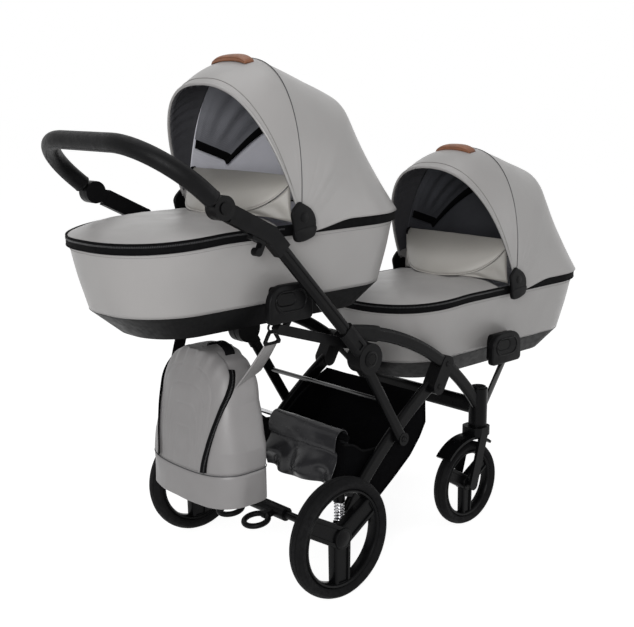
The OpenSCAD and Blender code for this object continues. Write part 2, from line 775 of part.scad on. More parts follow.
// Cloth from the seam over the rear bow to the rim: s is 1 at the seam, 2 at the bow, 3 at the rim
function arch_pt(deg, r, a, in) =
    let (q = (r - in) * pow(cos(a), 2 / hood_power))
    [q * cos(deg), sign(a) * (hood_y - 1 - in) * pow(abs(sin(a)), 2 / hood_power), hinge_z + q * sin(deg)];
function rim_pt(a, in) =
    let (c = rim_corner + trim_t, l = rim_l + trim_t, w = hood_y - 1, flat = w - c, arc = c * PI / 2,
        s = abs(a) / 90 * (flat + arc + l - c), t = (s - flat) / c * 180 / PI)
    s < flat ? [l - in, sign(a) * s, trim_h]
    : s < flat + arc ? [l - c + (c - in) * cos(t), sign(a) * (flat + (c - in) * sin(t)), trim_h]
    : [l - c - (s - flat - arc), sign(a) * (w - in), trim_h];
function rear_pt(k, s, a, in) = s <= 2
    ? arch_pt(k[0], k[1], a, in) * (2 - s) + arch_pt(k[2], k[3], a, in) * (s - 1)
    : arch_pt(k[2], k[3], a, in) * (3 - s) + rim_pt(a, in) * (s - 2)
        - [0.7, 0, 0.5] * 12 * sin(180 * (s - 2)) * cos(a);
function soft_pt(k, s, a, in) = let (h = 0.15, t = (s - 2 + h) / (2 * h)) abs(s - 2) >= h ? rear_pt(k, s, a, in)
    : rear_pt(k, 2 - h, a, in) * pow(1 - t, 2) + rear_pt(k, 2, a, in) * 2 * t * (1 - t)
        + rear_pt(k, 2 + h, a, in) * t * t;

hood_rows = [1.03, 1.3, 1.6, 1.85, 1.95, 2.05, 2.15, 2.4, 2.7, 3];
hood_cols = 28;

module cot_hood_rear(k) {
    m = len(hood_rows);
    n = hood_cols + 1;
    skins = [for (in = [0, hood_t], s = hood_rows, j = [0 : hood_cols])
        soft_pt(k, s, hood_end * (2 * j / hood_cols - 1), in)];
    quads = [for (i = [0 : m - 2], j = [0 : hood_cols - 1]) [i * n + j, i * n + j + 1, (i + 1) * n + j + 1, (i + 1) * n + j]];
    edge = concat([for (j = [0 : n - 1]) j], [for (i = [1 : m - 1]) i * n + n - 1],
        [for (j = [n - 2 : -1 : 0]) (m - 1) * n + j], [for (i = [m - 2 : -1 : 1]) i * n]);
    e = len(edge);
    polyhedron(skins, concat(
        [for (q = quads) each [[q[0], q[1], q[2]], [q[0], q[2], q[3]]]],
        [for (q = quads) each [[m * n + q[2], m * n + q[1], m * n + q[0]], [m * n + q[3], m * n + q[2], m * n + q[0]]]],
        [for (i = [0 : e - 1]) let (a = edge[i], b = edge[(i + 1) % e])
            each [[b, a, m * n + a], [b, m * n + a, m * n + b]]]));
}

module cot_hood_hubs() both_sides() {
    slab(hood_y + gap, hood_y + 10) link([0, hinge_z], [7, -24], 42);
    disc([0, hinge_z], 29, hood_y + gap + 0.6, hood_y + 9);
    slab(rim_w + trim_t, hood_y + 8) translate([8, -20]) rounded(18, 12, 8);
    disc([0, hinge_z], hood_pin_r, hood_y - hood_t - 1, hood_y + 2);
}

module cot_hood_handle(k) difference() {
    translate([0, 0, hinge_z]) rotate([0, -2.5, 0]) translate([0, 0, k[1] - 14]) linear_extrude(26)
        rounded(16, 62, 14);
    visor_skin(k, 0, 0);
}

fabric = [0.62, 0.61, 0.6];
pale = [0.7, 0.69, 0.67];
black = [0.09, 0.09, 0.1];

module rear_cot_base() place() at(rear_cot) color(black) cot_base();
module rear_cot_wall() place() at(rear_cot) color(fabric) cot_wall();
module rear_cot_trim() place() at(rear_cot) color(black) cot_trim();
module rear_cot_apron() place() at(rear_cot) color(fabric) cot_apron();
module rear_cot_flap() place() at(rear_cot) color(pale) cot_flap(flap_h - 9);
module rear_cot_mattress() place() at(rear_cot) color([0.9, 0.9, 0.88]) cot_mattress();
module rear_cot_brackets() place() at(rear_cot) color(black) cot_brackets();
module rear_cot_button_left() place() at(rear_cot) color(black) cot_button(true);
module rear_cot_button_right() place() at(rear_cot) color(black) cot_button(false);
module rear_hood_front() place() at(rear_cot) color(pale) cot_hood_front(rear_hood_shape);
module rear_hood_rear() place() at(rear_cot) color(fabric) cot_hood_rear(rear_hood_shape);
module rear_hood_hubs() place() at(rear_cot) color(black) cot_hood_hubs();
module rear_hood_handle() place() at(rear_cot) color([0.5, 0.27, 0.13]) cot_hood_handle(rear_hood_shape);
module front_cot_base() place() at(front_cot) color(black) cot_base();
module front_cot_wall() place() at(front_cot) color(fabric) cot_wall();
module front_cot_trim() place() at(front_cot) color(black) cot_trim();
module front_cot_apron() place() at(front_cot) color(fabric) cot_apron();
module front_cot_flap() place() at(front_cot) color(pale) cot_flap(flap_h + 8);
module front_cot_mattress() place() at(front_cot) color([0.9, 0.9, 0.88]) cot_mattress();
module front_cot_brackets() place() at(front_cot) color(black) cot_brackets();
module front_cot_button_left() place() at(front_cot) color(black) cot_button(true);
module front_cot_button_right() place() at(front_cot) color(black) cot_button(false);
module front_hood_front() place() at(front_cot) color(pale) cot_hood_front(front_hood_shape);
module front_hood_rear() place() at(front_cot) color(fabric) cot_hood_rear(front_hood_shape);
module front_hood_hubs() place() at(front_cot) color(black) cot_hood_hubs();
module front_hood_handle() place() at(front_cot) color([0.5, 0.27, 0.13]) cot_hood_handle(front_hood_shape);

side_rails();
arch_tubes();
leg_tubes();
leg_crossbar();
fold_hubs();
arch_clamps();
front_beam();
front_support_tube();
basket();
basket_flap();
rear_axle_frame();
rear_springs();
brake_pedal();
rear_rim_left();
rear_rim_right();
rear_tyre_left();
rear_tyre_right();
front_rim_left();
front_rim_right();
front_tyre_left();
front_tyre_right();
fork_left();
fork_right();
uprights();
fold_knuckles();
handle_sockets();
trigger_left();
trigger_right();
handle_tube();
handle_grip();
handle_button_left();
handle_button_right();
bag();
bag_straps();
rear_cot_base();
rear_cot_wall();
rear_cot_trim();
rear_cot_apron();
rear_cot_flap();
rear_cot_mattress();
rear_cot_brackets();
rear_cot_button_left();
rear_cot_button_right();
rear_hood_front();
rear_hood_rear();
rear_hood_hubs();
rear_hood_handle();
front_cot_base();
front_cot_wall();
front_cot_trim();
front_cot_apron();
front_cot_flap();
front_cot_mattress();
front_cot_brackets();
front_cot_button_left();
front_cot_button_right();
front_hood_front();
front_hood_rear();
front_hood_hubs();
front_hood_handle();
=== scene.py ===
"""Looks of the tandem pram: soft goods, wheels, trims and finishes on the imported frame."""

import math

import bmesh
import bpy
from bpy.props import FloatProperty, FloatVectorProperty, PointerProperty
from mathutils import Matrix, Vector, noise


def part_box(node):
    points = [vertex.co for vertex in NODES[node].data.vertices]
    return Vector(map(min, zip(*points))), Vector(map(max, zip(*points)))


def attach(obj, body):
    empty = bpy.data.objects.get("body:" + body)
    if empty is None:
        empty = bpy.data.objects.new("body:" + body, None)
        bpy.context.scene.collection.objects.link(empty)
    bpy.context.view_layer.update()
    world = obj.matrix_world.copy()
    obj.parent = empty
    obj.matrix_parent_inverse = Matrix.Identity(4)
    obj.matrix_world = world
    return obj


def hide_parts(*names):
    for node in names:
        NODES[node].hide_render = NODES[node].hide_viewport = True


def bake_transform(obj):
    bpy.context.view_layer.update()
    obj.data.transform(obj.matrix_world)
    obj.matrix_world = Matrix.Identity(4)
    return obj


bl_info = {
    "name": "Tandem Pram Looks",
    "version": (1, 0, 0),
    "blender": (4, 5, 0),
    "location": "3D View > Sidebar > Pram",
    "description": "Dresses the packed tandem pram with cloth, leather, wheels and finishes",
    "category": "Object",
}

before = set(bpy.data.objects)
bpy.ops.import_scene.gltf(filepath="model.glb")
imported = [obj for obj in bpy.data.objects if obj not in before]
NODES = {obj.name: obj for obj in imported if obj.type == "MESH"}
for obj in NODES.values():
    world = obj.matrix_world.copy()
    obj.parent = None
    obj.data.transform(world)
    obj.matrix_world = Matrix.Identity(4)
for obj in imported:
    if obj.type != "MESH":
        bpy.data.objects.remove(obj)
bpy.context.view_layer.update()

SIDES = (("left", 1), ("right", -1))
FLANKS = (("near", -1), ("far", 1))
# Lengthwise distance from the rear axle to the part's own zero
AXLE_X = -sum(corner.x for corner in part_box("rear_tyre_left")) / 2
# A carrycot counts its own millimetres from the middle of its rim: height of the hood's hinges, half the width there
HINGE_Z = 21
HALF_W = 211
# Bows of each hood as degrees and radius about the hinges, and what its wind flap adds to the set height
COTS = {
    "rear": {"seam": (86.5, 351), "bow": (46.5, 365), "visor": (111, 313), "flap": -9},
    "front": {"seam": (85.2, 357), "bow": (48.5, 379), "visor": (113, 334), "flap": 8},
}
# Half length, half width and corner radius of the rim and of the wall's foot
RIM = (420, 200, 185)
LOW = (384, 158, 144)
# Power of the rounded arch that the hood's bows follow
ARCH = 2.4
# Slope of the frame's upper tubes, which the handlebar carries on
HANDLE_DEG = 140
# Rivets of one side: x, z and y of the seat from under the rear axle, radius, height, and body
RIVETS = {
    "fold_pivot_cap": (135, 542, 247, 20, 2.4, "upper_frame"),
    "leg_rivet": (282, 303, 222, 9, 2.0, "chassis"),
    "clamp_rivet_low": (414, 414, 223.4, 8, 1.6, "chassis"),
    "clamp_rivet_top": (446, 468, 223.4, 8, 1.6, "chassis"),
    "arm_bolt": (95, 142, 240, 9, 2.4, "chassis"),
}
WHITE = (1, 1, 1, 1)
# Camera fitted to the photograph: frame width and focal length in pixels, place in millimetres from under the rear
# axle, and yaw, pitch and roll in degrees
PHOTO_WIDTH, FOCAL = 634, 1047.96
CAMERA_SPOT = (-1587.5, -1908.0, 1167.5)
CAMERA_TURN = (47.0004, -12.1428, -0.3805)


def axle_space(x, y, z):
    """Row point of millimetres counted from under the rear axle."""
    return Vector((x / 1000 - AXLE_X, y / 1000, z / 1000))


def cot_space(which):
    """Turns a carrycot's own millimetres, from the middle of its rim, into row points."""
    low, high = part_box(which + "_cot_trim")
    zero = Vector(((low.x + high.x) / 2, 0, (low.z + high.z) / 2))
    return lambda x, y, z: zero + Vector((x, y, z)) / 1000


def paint(r, g, b):
    """Linear colour of a screen colour."""
    return tuple((c / 255 / 12.92) if c / 255 <= 0.04045 else ((c / 255 + 0.055) / 1.055) ** 2.4 for c in (r, g, b))


def ease(t):
    """Smooth step from 0 to 1."""
    t = min(max(t, 0.0), 1.0)
    return t * t * (3 - 2 * t)


def on_path(points, t):
    """Place at a share t of a bent line of (x, z) points."""
    s = t * (len(points) - 1)
    i = min(int(s), len(points) - 2)
    f = s - i
    return points[i][0] * (1 - f) + points[i + 1][0] * f, points[i][1] * (1 - f) + points[i + 1][1] * f


# Settings


class PramColours(bpy.types.PropertyGroup):
    """Colours of the cloth, leather and mouldings."""
    leather: FloatVectorProperty(name="Leather", description="Satin leather of walls and hoods", subtype="COLOR",
                                 size=3, default=paint(148, 146, 145), min=0, max=1)
    pale: FloatVectorProperty(name="Pale leather", description="Wind flaps", subtype="COLOR", size=3,
                              default=paint(149, 146, 141), min=0, max=1)
    bag: FloatVectorProperty(name="Bag", description="Leather of the hanging bag", subtype="COLOR", size=3,
                             default=paint(128, 126, 126), min=0, max=1)
    brown: FloatVectorProperty(name="Carry handle", description="Leather of the hood handles", subtype="COLOR",
                               size=3, default=paint(116, 71, 43), min=0, max=1)
    # A pale cloth, set lighter than its own colour: painted light for the bright inside of the hoods
    lining: FloatVectorProperty(name="Lining", description="Cloth inside the hoods and carrycots", subtype="COLOR",
                                size=3, default=paint(212, 212, 220), min=0, max=1)
    black: FloatVectorProperty(name="Black", description="Mouldings and tubes", subtype="COLOR", size=3,
                               default=paint(9, 9, 10), min=0, max=1)
    basket: FloatVectorProperty(name="Basket flap", description="Leather of the basket's flap", subtype="COLOR",
                                size=3, default=paint(42, 42, 44), min=0, max=1)


class PramSizes(bpy.types.PropertyGroup):
    """Sizes of the soft goods."""
    cloth: FloatProperty(name="Leather thickness", description="Thickness of walls and hoods", default=0.003,
                         unit="LENGTH", min=0.001, max=0.006)
    apron_rise: FloatProperty(name="Apron rise", description="Height of the apron's dome over the rim",
                              default=0.02, unit="LENGTH", min=0.015, max=0.04)
    flap_height: FloatProperty(name="Wind flap height", description="Height of the wind flap over the rim",
                               default=0.128, unit="LENGTH", min=0.1, max=0.135)
    grain: FloatProperty(name="Leather grain", description="Size of one grain of the leather", default=0.0016,
                         unit="LENGTH", min=0.0005, max=0.004)


# Finishes


def node(tree, kind, **values):
    """A shader node with some of its sockets set."""
    made = tree.nodes.new("ShaderNode" + kind)
    for socket, value in values.items():
        made.inputs[socket.replace("_", " ")].default_value = value
    return made


def finish(name, colour, rough, grain, depth, kind, mottle, mottle_size, rough_swing=0.06, crease=0.0, **sockets):
    """A procedural finish: mottled colour, uneven gloss, and a grain in its bump, all on Object coordinates."""
    found = bpy.data.materials.get(name)
    if found:
        return found
    m = bpy.data.materials.new(name)
    m.use_nodes = True
    m.diffuse_color = (*colour, 1)
    tree, links = m.node_tree, m.node_tree.links
    shader = tree.nodes["Principled BSDF"]
    for socket, value in sockets.items():
        shader.inputs[socket.replace("_", " ")].default_value = value
    coord = node(tree, "TexCoord").outputs["Object"]

    def cloud(size, detail):
        n = node(tree, "TexNoise", Scale=1 / size, Detail=detail)
        links.new(coord, n.inputs["Vector"])
        return n.outputs["Fac"]

    ramp = node(tree, "ValToRGB")
    for stop, place, share in zip(ramp.color_ramp.elements, (0.3, 0.7), (1 - mottle, 1 + mottle)):
        stop.position = place
        stop.color = (*[min(c * share, 1) for c in colour], 1)
    links.new(cloud(mottle_size, 4), ramp.inputs["Fac"])
    links.new(ramp.outputs["Color"], shader.inputs["Base Color"])
    spread = node(tree, "MapRange", From_Min=0.3, From_Max=0.7, To_Min=max(rough - rough_swing, 0.02),
                  To_Max=min(rough + rough_swing, 1))
    links.new(cloud(mottle_size / 3, 3), spread.inputs["Value"])
    links.new(spread.outputs["Result"], shader.inputs["Roughness"])
    bump = node(tree, "Bump", Strength=0.6, Distance=depth)
    if kind == "GRAIN":
        cells = node(tree, "TexVoronoi", Scale=1 / grain)
        links.new(coord, cells.inputs["Vector"])
        height = cells.outputs["Distance"]
    elif kind == "WEAVE":
        height = None
        for direction in ("X", "Y", "Z"):
            threads = node(tree, "TexWave", Scale=0.314 / grain, Distortion=0.4)
            threads.bands_direction = direction
            links.new(coord, threads.inputs["Vector"])
            if height:
                add = node(tree, "Math")
                links.new(height, add.inputs[0])
                links.new(threads.outputs["Fac"], add.inputs[1])
                height = add.outputs[0]
            else:
                height = threads.outputs["Fac"]
    else:
        height = cloud(grain, 2)
    links.new(height, bump.inputs["Height"])
    if crease:
        under = node(tree, "Bump", Strength=0.5, Distance=crease)
        links.new(cloud(0.07, 2), under.inputs["Height"])
        links.new(under.outputs["Normal"], bump.inputs["Normal"])
    links.new(bump.outputs["Normal"], shader.inputs["Normal"])
    return m


def finishes():
    """Every finish of the pram, by plain name."""
    c = bpy.context.scene.pram_colours
    g = bpy.context.scene.pram_sizes.grain
    black = tuple(c.black)
    return {
        "leather": finish("grey_leather", tuple(c.leather), 0.37, g, 0.00022, "GRAIN", 0.04, 0.2, 0.05, 0.0018,
                          Sheen_Weight=0.06),
        "pale": finish("pale_hide", tuple(c.pale), 0.46, g, 0.00022, "GRAIN", 0.04, 0.15, 0.05, 0.0018,
                       Sheen_Weight=0.06),
        "bag": finish("quilted_leather", tuple(c.bag), 0.44, g, 0.00022, "GRAIN", 0.05, 0.12, 0.05, 0.002,
                      Sheen_Weight=0.06),
        "brown": finish("tan_leather", tuple(c.brown), 0.48, g * 0.9, 0.0003, "GRAIN", 0.16, 0.02, 0.08, 0.001),
        "lining": finish("lining_cloth", tuple(c.lining), 0.75, 0.0012, 0.0002, "WEAVE", 0.05, 0.1, 0.05, 0.004,
                         Sheen_Weight=0.1),
        # Darker copy of the lining cloth: painted shade for the shadowed inside of the front hood
        "shade_lining": finish("shade_lining", paint(58, 59, 64), 0.8, 0.0012, 0.0002, "WEAVE", 0.08, 0.1, 0.05, 0.004),
        "dark_lining": finish("visor_lining", paint(58, 58, 62), 0.8, 0.0012, 0.0002, "WEAVE", 0.08, 0.05),
        "panel": finish("window_panel", paint(112, 113, 119), 0.8, 0.0014, 0.0004, "WEAVE", 0.08, 0.05, 0.05, 0.003),
        "webbing": finish("black_webbing", paint(8, 8, 9), 0.8, 0.0014, 0.0003, "WEAVE", 0.2, 0.02,
                          Specular_IOR_Level=0.065),
        "teeth": finish("zip_teeth", paint(24, 24, 26), 0.35, 0.002, 0.0001, "NOISE", 0.1, 0.01),
        "thread": finish("thread", paint(120, 118, 116), 0.7, 0.0006, 0.0001, "NOISE", 0.1, 0.01),
        "brown_thread": finish("brown_thread", paint(92, 52, 28), 0.7, 0.0006, 0.0001, "NOISE", 0.1, 0.01),
        "black_thread": finish("black_thread", paint(48, 48, 50), 0.6, 0.0006, 0.0001, "NOISE", 0.1, 0.01),
        "tube": finish("powder_coat", tuple(x * 0.9 for x in black), 0.3, 0.0009, 0.00004, "NOISE", 0.15, 0.06, 0.06,
                       Specular_IOR_Level=0.085),
        "gloss": finish("gloss_lacquer", paint(14, 14, 15), 0.14, 0.004, 0.00002, "NOISE", 0.1, 0.05, 0.04,
                        Coat_Weight=0.4),
        "plastic": finish("moulded_black", black, 0.46, 0.0011, 0.00008, "NOISE", 0.18, 0.04, 0.08,
                          Specular_IOR_Level=0.085),
        "satin": finish("satin_black", paint(9, 9, 10), 0.32, 0.0015, 0.00005, "NOISE", 0.18, 0.05, 0.07,
                        Specular_IOR_Level=0.075),
        "tyre": finish("tyre_rubber", paint(13, 13, 14), 0.7, 0.0016, 0.00018, "NOISE", 0.2, 0.03, 0.1,
                       Specular_IOR_Level=0.085),
        "chrome": finish("plated_wire", (0.8, 0.8, 0.82), 0.14, 0.003, 0.00002, "NOISE", 0.04, 0.02, 0.06,
                         Metallic=1.0),
        "basket": finish("basket_weave", paint(5, 5, 6), 0.85, 0.0016, 0.0004, "WEAVE", 0.2, 0.05, 0.06, 0.004,
                         Specular_IOR_Level=0.03),
        "basket_leather": finish("flap_leather", tuple(c.basket), 0.23, g, 0.0002, "GRAIN", 0.1, 0.05, 0.06, 0.003,
                                 Specular_IOR_Level=0.22),
        "grip": finish("grip_wrap", paint(14, 14, 15), 0.42, 0.0013, 0.0003, "GRAIN", 0.18, 0.03, 0.08,
                       Specular_IOR_Level=0.085),
        "cotton": finish("mattress_cotton", paint(226, 225, 221), 0.85, 0.0012, 0.0003, "WEAVE", 0.03, 0.05, 0.05,
                         0.003, Sheen_Weight=0.1),
    }


# Modelling helpers


def grid(across, along, shape, closed=False):
    """A bmesh grid whose points are placed by shape(u, v), u and v from 0 to 1."""
    bm = bmesh.new()
    bmesh.ops.create_grid(bm, x_segments=across, y_segments=along, size=1)
    uv = bm.loops.layers.uv.new("UVMap")
    for f in bm.faces:
        for corner in f.loops:
            corner[uv].uv = ((corner.vert.co.x + 1) / 2, (corner.vert.co.y + 1) / 2)
    for v in bm.verts:
        v.co = shape((v.co.x + 1) / 2, (v.co.y + 1) / 2)
    if closed:
        bmesh.ops.remove_doubles(bm, verts=bm.verts, dist=2e-5)
    bm.normal_update()
    return bm


def face_away(bm, middle):
    """Turns the faces so that they look away from a middle point."""
    bm.normal_update()
    if sum(f.calc_area() * f.normal.dot(f.calc_center_median() - middle) for f in bm.faces) < 0:
        bmesh.ops.reverse_faces(bm, faces=bm.faces)


def piece(name, bm, body, material, slot=None, replaces=(), crisp=None):
    """Makes a bmesh an object that rides on a body."""
    mesh = bpy.data.meshes.new(name)
    bm.to_mesh(mesh)
    bm.free()
    o = bpy.data.objects.new(name, mesh)
    bpy.context.scene.collection.objects.link(o)
    mesh.materials.append(material)
    for p in mesh.polygons:
        p.use_smooth = True
    if crisp:
        mesh.set_sharp_from_angle(angle=math.radians(crisp))
    if body:
        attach(o, body)
    if replaces:
        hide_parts(*replaces)
    return o


def thicken(o, thickness, offset=-1):
    """Gives a sheet its thickness, inwards unless told otherwise."""
    m = o.modifiers.new("thickness", "SOLIDIFY")
    m.thickness = thickness
    m.offset = offset
    m.use_even_offset = False


def sheet(o, thickness, offset=-1):
    """Thickens a cloth, inwards unless told otherwise."""
    thicken(o, thickness, offset)


def drawn(curve, lines, closed, matrix=Matrix()):
    """A closed bmesh of a curve drawn through lines of row points, then moved by a matrix."""
    for line in lines:
        spline = curve.splines.new("POLY")
        spline.points.add(len(line) - 1)
        for p, q in zip(spline.points, line):
            p.co = (*q, 0, 1) if len(q) == 2 else (*q, 1)
        spline.use_cyclic_u = closed
    o = bpy.data.objects.new("line", curve)
    bpy.context.scene.collection.objects.link(o)
    mesh = bpy.data.meshes.new_from_object(o.evaluated_get(bpy.context.evaluated_depsgraph_get()))
    bm = bmesh.new()
    bm.from_mesh(mesh)
    bpy.data.objects.remove(o)
    bpy.data.curves.remove(curve)
    bpy.data.meshes.remove(mesh)
    bmesh.ops.remove_doubles(bm, verts=bm.verts, dist=1e-6)
    bmesh.ops.transform(bm, matrix=matrix, verts=bm.verts)
    bmesh.ops.recalc_face_normals(bm, faces=bm.faces)
    return bm


def tube_mesh(points, radius, closed=False, sides=3):
    """A bmesh tube along row points."""
    curve = bpy.data.curves.new("line", "CURVE")
    curve.dimensions = "3D"
    curve.bevel_depth = radius
    curve.bevel_resolution = sides - 1
    curve.use_fill_caps = True
    return drawn(curve, [points], closed)


def plate_mesh(outlines, thickness, bevel, matrix):
    """A bmesh plate with rounded edges, filled between closed outlines of row units."""
    curve = bpy.data.curves.new("plate", "CURVE")
    curve.dimensions = "2D"
    curve.fill_mode = "BOTH"
    curve.extrude = thickness / 2 - bevel
    curve.bevel_depth = bevel
    curve.bevel_resolution = 2
    curve.offset = -bevel
    return drawn(curve, outlines, True, matrix)


def block_mesh(centre, sizes, bevel=0.0):
    """A bmesh block with its centre and sizes, its edges rounded by a bevel."""
    bm = bmesh.new()
    bmesh.ops.create_cube(bm, size=1, matrix=Matrix.Translation(centre) @ Matrix.Diagonal((*sizes, 1)))
    if bevel:
        bmesh.ops.bevel(bm, geom=bm.edges[:], offset=bevel, offset_type="OFFSET", segments=3, profile=0.5,
                        affect="EDGES", material=-1)
    return bm


def round_box(low_x, high_x, low_z, high_z, low_r, high_r):
    """Outline of a box whose lower and upper corners have their own radius."""
    points = []
    for x, z, r, turn in ((high_x - low_r, low_z + low_r, low_r, -90), (high_x - high_r, high_z - high_r, high_r, 0),
                          (low_x + high_r, high_z - high_r, high_r, 90), (low_x + low_r, low_z + low_r, low_r, 180)):
        for i in range(13):
            a = math.radians(turn + 7.5 * i)
            points.append(((x + r * math.cos(a)) / 1000, (z + r * math.sin(a)) / 1000))
    return points


def rounded(points, cuts=5):
    """A closed outline of millimetres drawn smoothly through its points, in row units."""
    out, n = [], len(points)
    for i in range(n):
        p = [Vector(points[(i + k) % n]) / 1000 for k in (-1, 0, 1, 2)]
        for j in range(cuts):
            t = j / cuts
            out.append(tuple(0.5 * (2 * p[1] + (p[2] - p[0]) * t + (2 * p[0] - 5 * p[1] + 4 * p[2] - p[3]) * t * t
                                    + (3 * p[1] - p[0] - 3 * p[2] + p[3]) * t ** 3)))
    return out


def evenly(points, step):
    """Points and directions along a path, a step apart."""
    found, carry = [], 0.0
    for a, b in zip(points, points[1:]):
        d = b - a
        size = d.length
        while size > 1e-9 and carry < size:
            found.append((a + d * (carry / size), d / size))
            carry += step
        carry -= size
    return found


def dashes(points, normals_from, step, long, wide, high):
    """Small bevelled blocks set along a path: stitches or zip teeth."""
    bm = bmesh.new()
    for p, along in evenly(points, step):
        up = (p - normals_from(p)).normalized()
        side = along.cross(up).normalized()
        up = side.cross(along).normalized()
        turn = Matrix((along * long, side * wide, up * high)).transposed().to_4x4()
        bmesh.ops.create_cube(bm, size=1, matrix=Matrix.Translation(p) @ turn)
    bmesh.ops.recalc_face_normals(bm, faces=bm.faces)
    return bm


def spun(profile, centre, steps):
    """A closed profile of (radius, across) turned about a wheel's axle, along Y."""
    bm = bmesh.new()
    verts = [bm.verts.new(centre + Vector((r, y, 0))) for r, y in profile]
    edges = [bm.edges.new((a, b)) for a, b in zip(verts, verts[1:] + verts[:1])]
    bmesh.ops.spin(bm, geom=verts + edges, cent=centre, axis=(0, 1, 0), angle=2 * math.pi, steps=steps, use_merge=True)
    bmesh.ops.remove_doubles(bm, verts=bm.verts, dist=1e-6)
    bmesh.ops.recalc_face_normals(bm, faces=bm.faces)
    return bm


def put_in(bm, other):
    """Adds another bmesh's shape to a bmesh."""
    mesh = bpy.data.meshes.new("part")
    other.to_mesh(mesh)
    other.free()
    bm.from_mesh(mesh)
    bpy.data.meshes.remove(mesh)


# Shapes of the carrycots, in their own millimetres


def rim_line(t, length, width, corner):
    """Point and outward direction at a share t of a rounded outline, from the middle of the head end."""
    flat, arc, side = width - corner, corner * math.pi / 2, length - corner
    q = (t % 1.0) * 4
    turn, s = int(q), (q - int(q)) * (flat + arc + side)
    if turn % 2:
        s = flat + arc + side - s
    if s < flat:
        x, y, nx, ny = length, s, 1, 0
    elif s < flat + arc:
        a = (s - flat) / corner
        x, y = length - corner + corner * math.cos(a), width - corner + corner * math.sin(a)
        nx, ny = math.cos(a), math.sin(a)
    else:
        x, y, nx, ny = length - corner - (s - flat - arc), width, 0, 1
    if turn in (1, 2):
        x, nx = -x, -nx
    if turn in (2, 3):
        y, ny = -y, -ny
    return x, y, nx, ny


def inside_by(x, y):
    """How far a point lies inside the rim."""
    length, width, corner = RIM
    dx, dy = abs(x) - (length - corner), abs(y) - (width - corner)
    return corner - math.hypot(max(dx, 0), max(dy, 0)) - min(max(dx, dy), 0)


def droop(x):
    """How far the soft rim sags towards the foot."""
    return 13 * ease((-x - 170) / 240)


def apron_height(x, y, rise):
    """Height of the domed apron over the rim's middle."""
    d = min(max(inside_by(x, y), 0) / 150, 1)
    return 10 + rise * (1 - (1 - d) ** 2.6) - droop(x) * (1 - 0.6 * d)


def half_width(x):
    """Half the rim's width at a place along the carrycot."""
    length, width, corner = RIM
    over = abs(x) - (length - corner)
    return width if over <= 0 else width - corner + math.sqrt(max(corner ** 2 - over ** 2, 0))


def arch(deg, radius, phi, inset):
    """A point of one hood bow, phi being 0 at its top and a quarter turn at a hinge."""
    s, c = math.sin(phi), max(math.cos(phi), 0)
    y = math.copysign((HALF_W - inset) * abs(s) ** (2 / ARCH), s)
    r = (radius - inset) * c ** (2 / ARCH)
    a = math.radians(deg)
    return Vector((r * math.cos(a), y, HINGE_Z + r * math.sin(a)))


def hood_point(which, m, phi, inset=0):
    """A point of the hood: m is 0 at the visor's edge, 1 at the seam, 2 at the rear bow, 3 at the rim."""
    seam_deg, seam_r = COTS[which]["seam"]
    visor_deg, visor_r = COTS[which]["visor"]

    def raw(m):
        if m <= 1:
            t = 1 - m
            return arch(seam_deg + (visor_deg - seam_deg) * t, seam_r + (visor_r - seam_r) * t ** 1.5, phi, inset)
        bow = arch(*COTS[which]["bow"], phi, inset)
        if m <= 2:
            return arch(seam_deg, seam_r, phi, inset).lerp(bow, m - 1)
        t = m - 2
        q = abs(phi) / (math.pi / 2)
        x, y, nx, ny = rim_line(math.copysign(0.25 * q, phi), RIM[0] + 4, HALF_W - 1, RIM[2] + 5)
        rim = Vector((x - nx * inset, y - ny * inset, 11 - 19 * ease((q - 0.7) / 0.25)))
        return bow.lerp(rim, t) - Vector((0.7, 0, 0.5)) * (12 * math.sin(math.pi * t) * max(math.cos(phi), 0))

    # The cloth rounds the rear bow
    if 1.91 < m < 2.09:
        s = (m - 1.91) / 0.18
        return raw(1.91) * (1 - s) ** 2 + raw(2) * (2 * s * (1 - s)) + raw(2.09) * s * s
    return raw(m)


def inward(p):
    """Direction from a hood point to the line of the hinges."""
    return Vector((-p.x, 0, HINGE_Z - p.z)).normalized()


def fold_with_hood(o, which):
    """Bakes a hood piece's placing into its mesh; the piece is not bent with the hood."""
    place = cot_space(which)
    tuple(place(RIM[0], 0, 12))
    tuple(place(0, 0, 368))
    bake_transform(o)
    return o


def hood_sheet(name, which, m_range, phi_range, inset, counts, material, slot, extra=None):
    """A sheet of the hood between two places m and two angles phi."""
    place = cot_space(which)

    def shape(u, v):
        m = m_range[0] + (m_range[1] - m_range[0]) * v
        phi = math.radians(phi_range[0] + (phi_range[1] - phi_range[0]) * u)
        p = hood_point(which, m, phi, inset)
        if extra:
            p = p + extra(m, phi, p)
        return place(*p)

    bm = grid(counts[0], counts[1], shape)
    bm.verts.index_update()
    face_away(bm, place(100, 0, 60))
    o = piece(name, bm, None, material, slot)
    return fold_with_hood(o, which)


def hood_line(name, which, m, phi_range, inset, radius, material, slot, steps=90):
    """Piping along the hood at one place m."""
    place = cot_space(which)
    points = []
    for i in range(steps + 1):
        phi = math.radians(phi_range[0] + (phi_range[1] - phi_range[0]) * i / steps)
        points.append(place(*hood_point(which, m, phi, inset)))
    o = piece(name, tube_mesh(points, radius), None, material, slot)
    return fold_with_hood(o, which)


# Operators


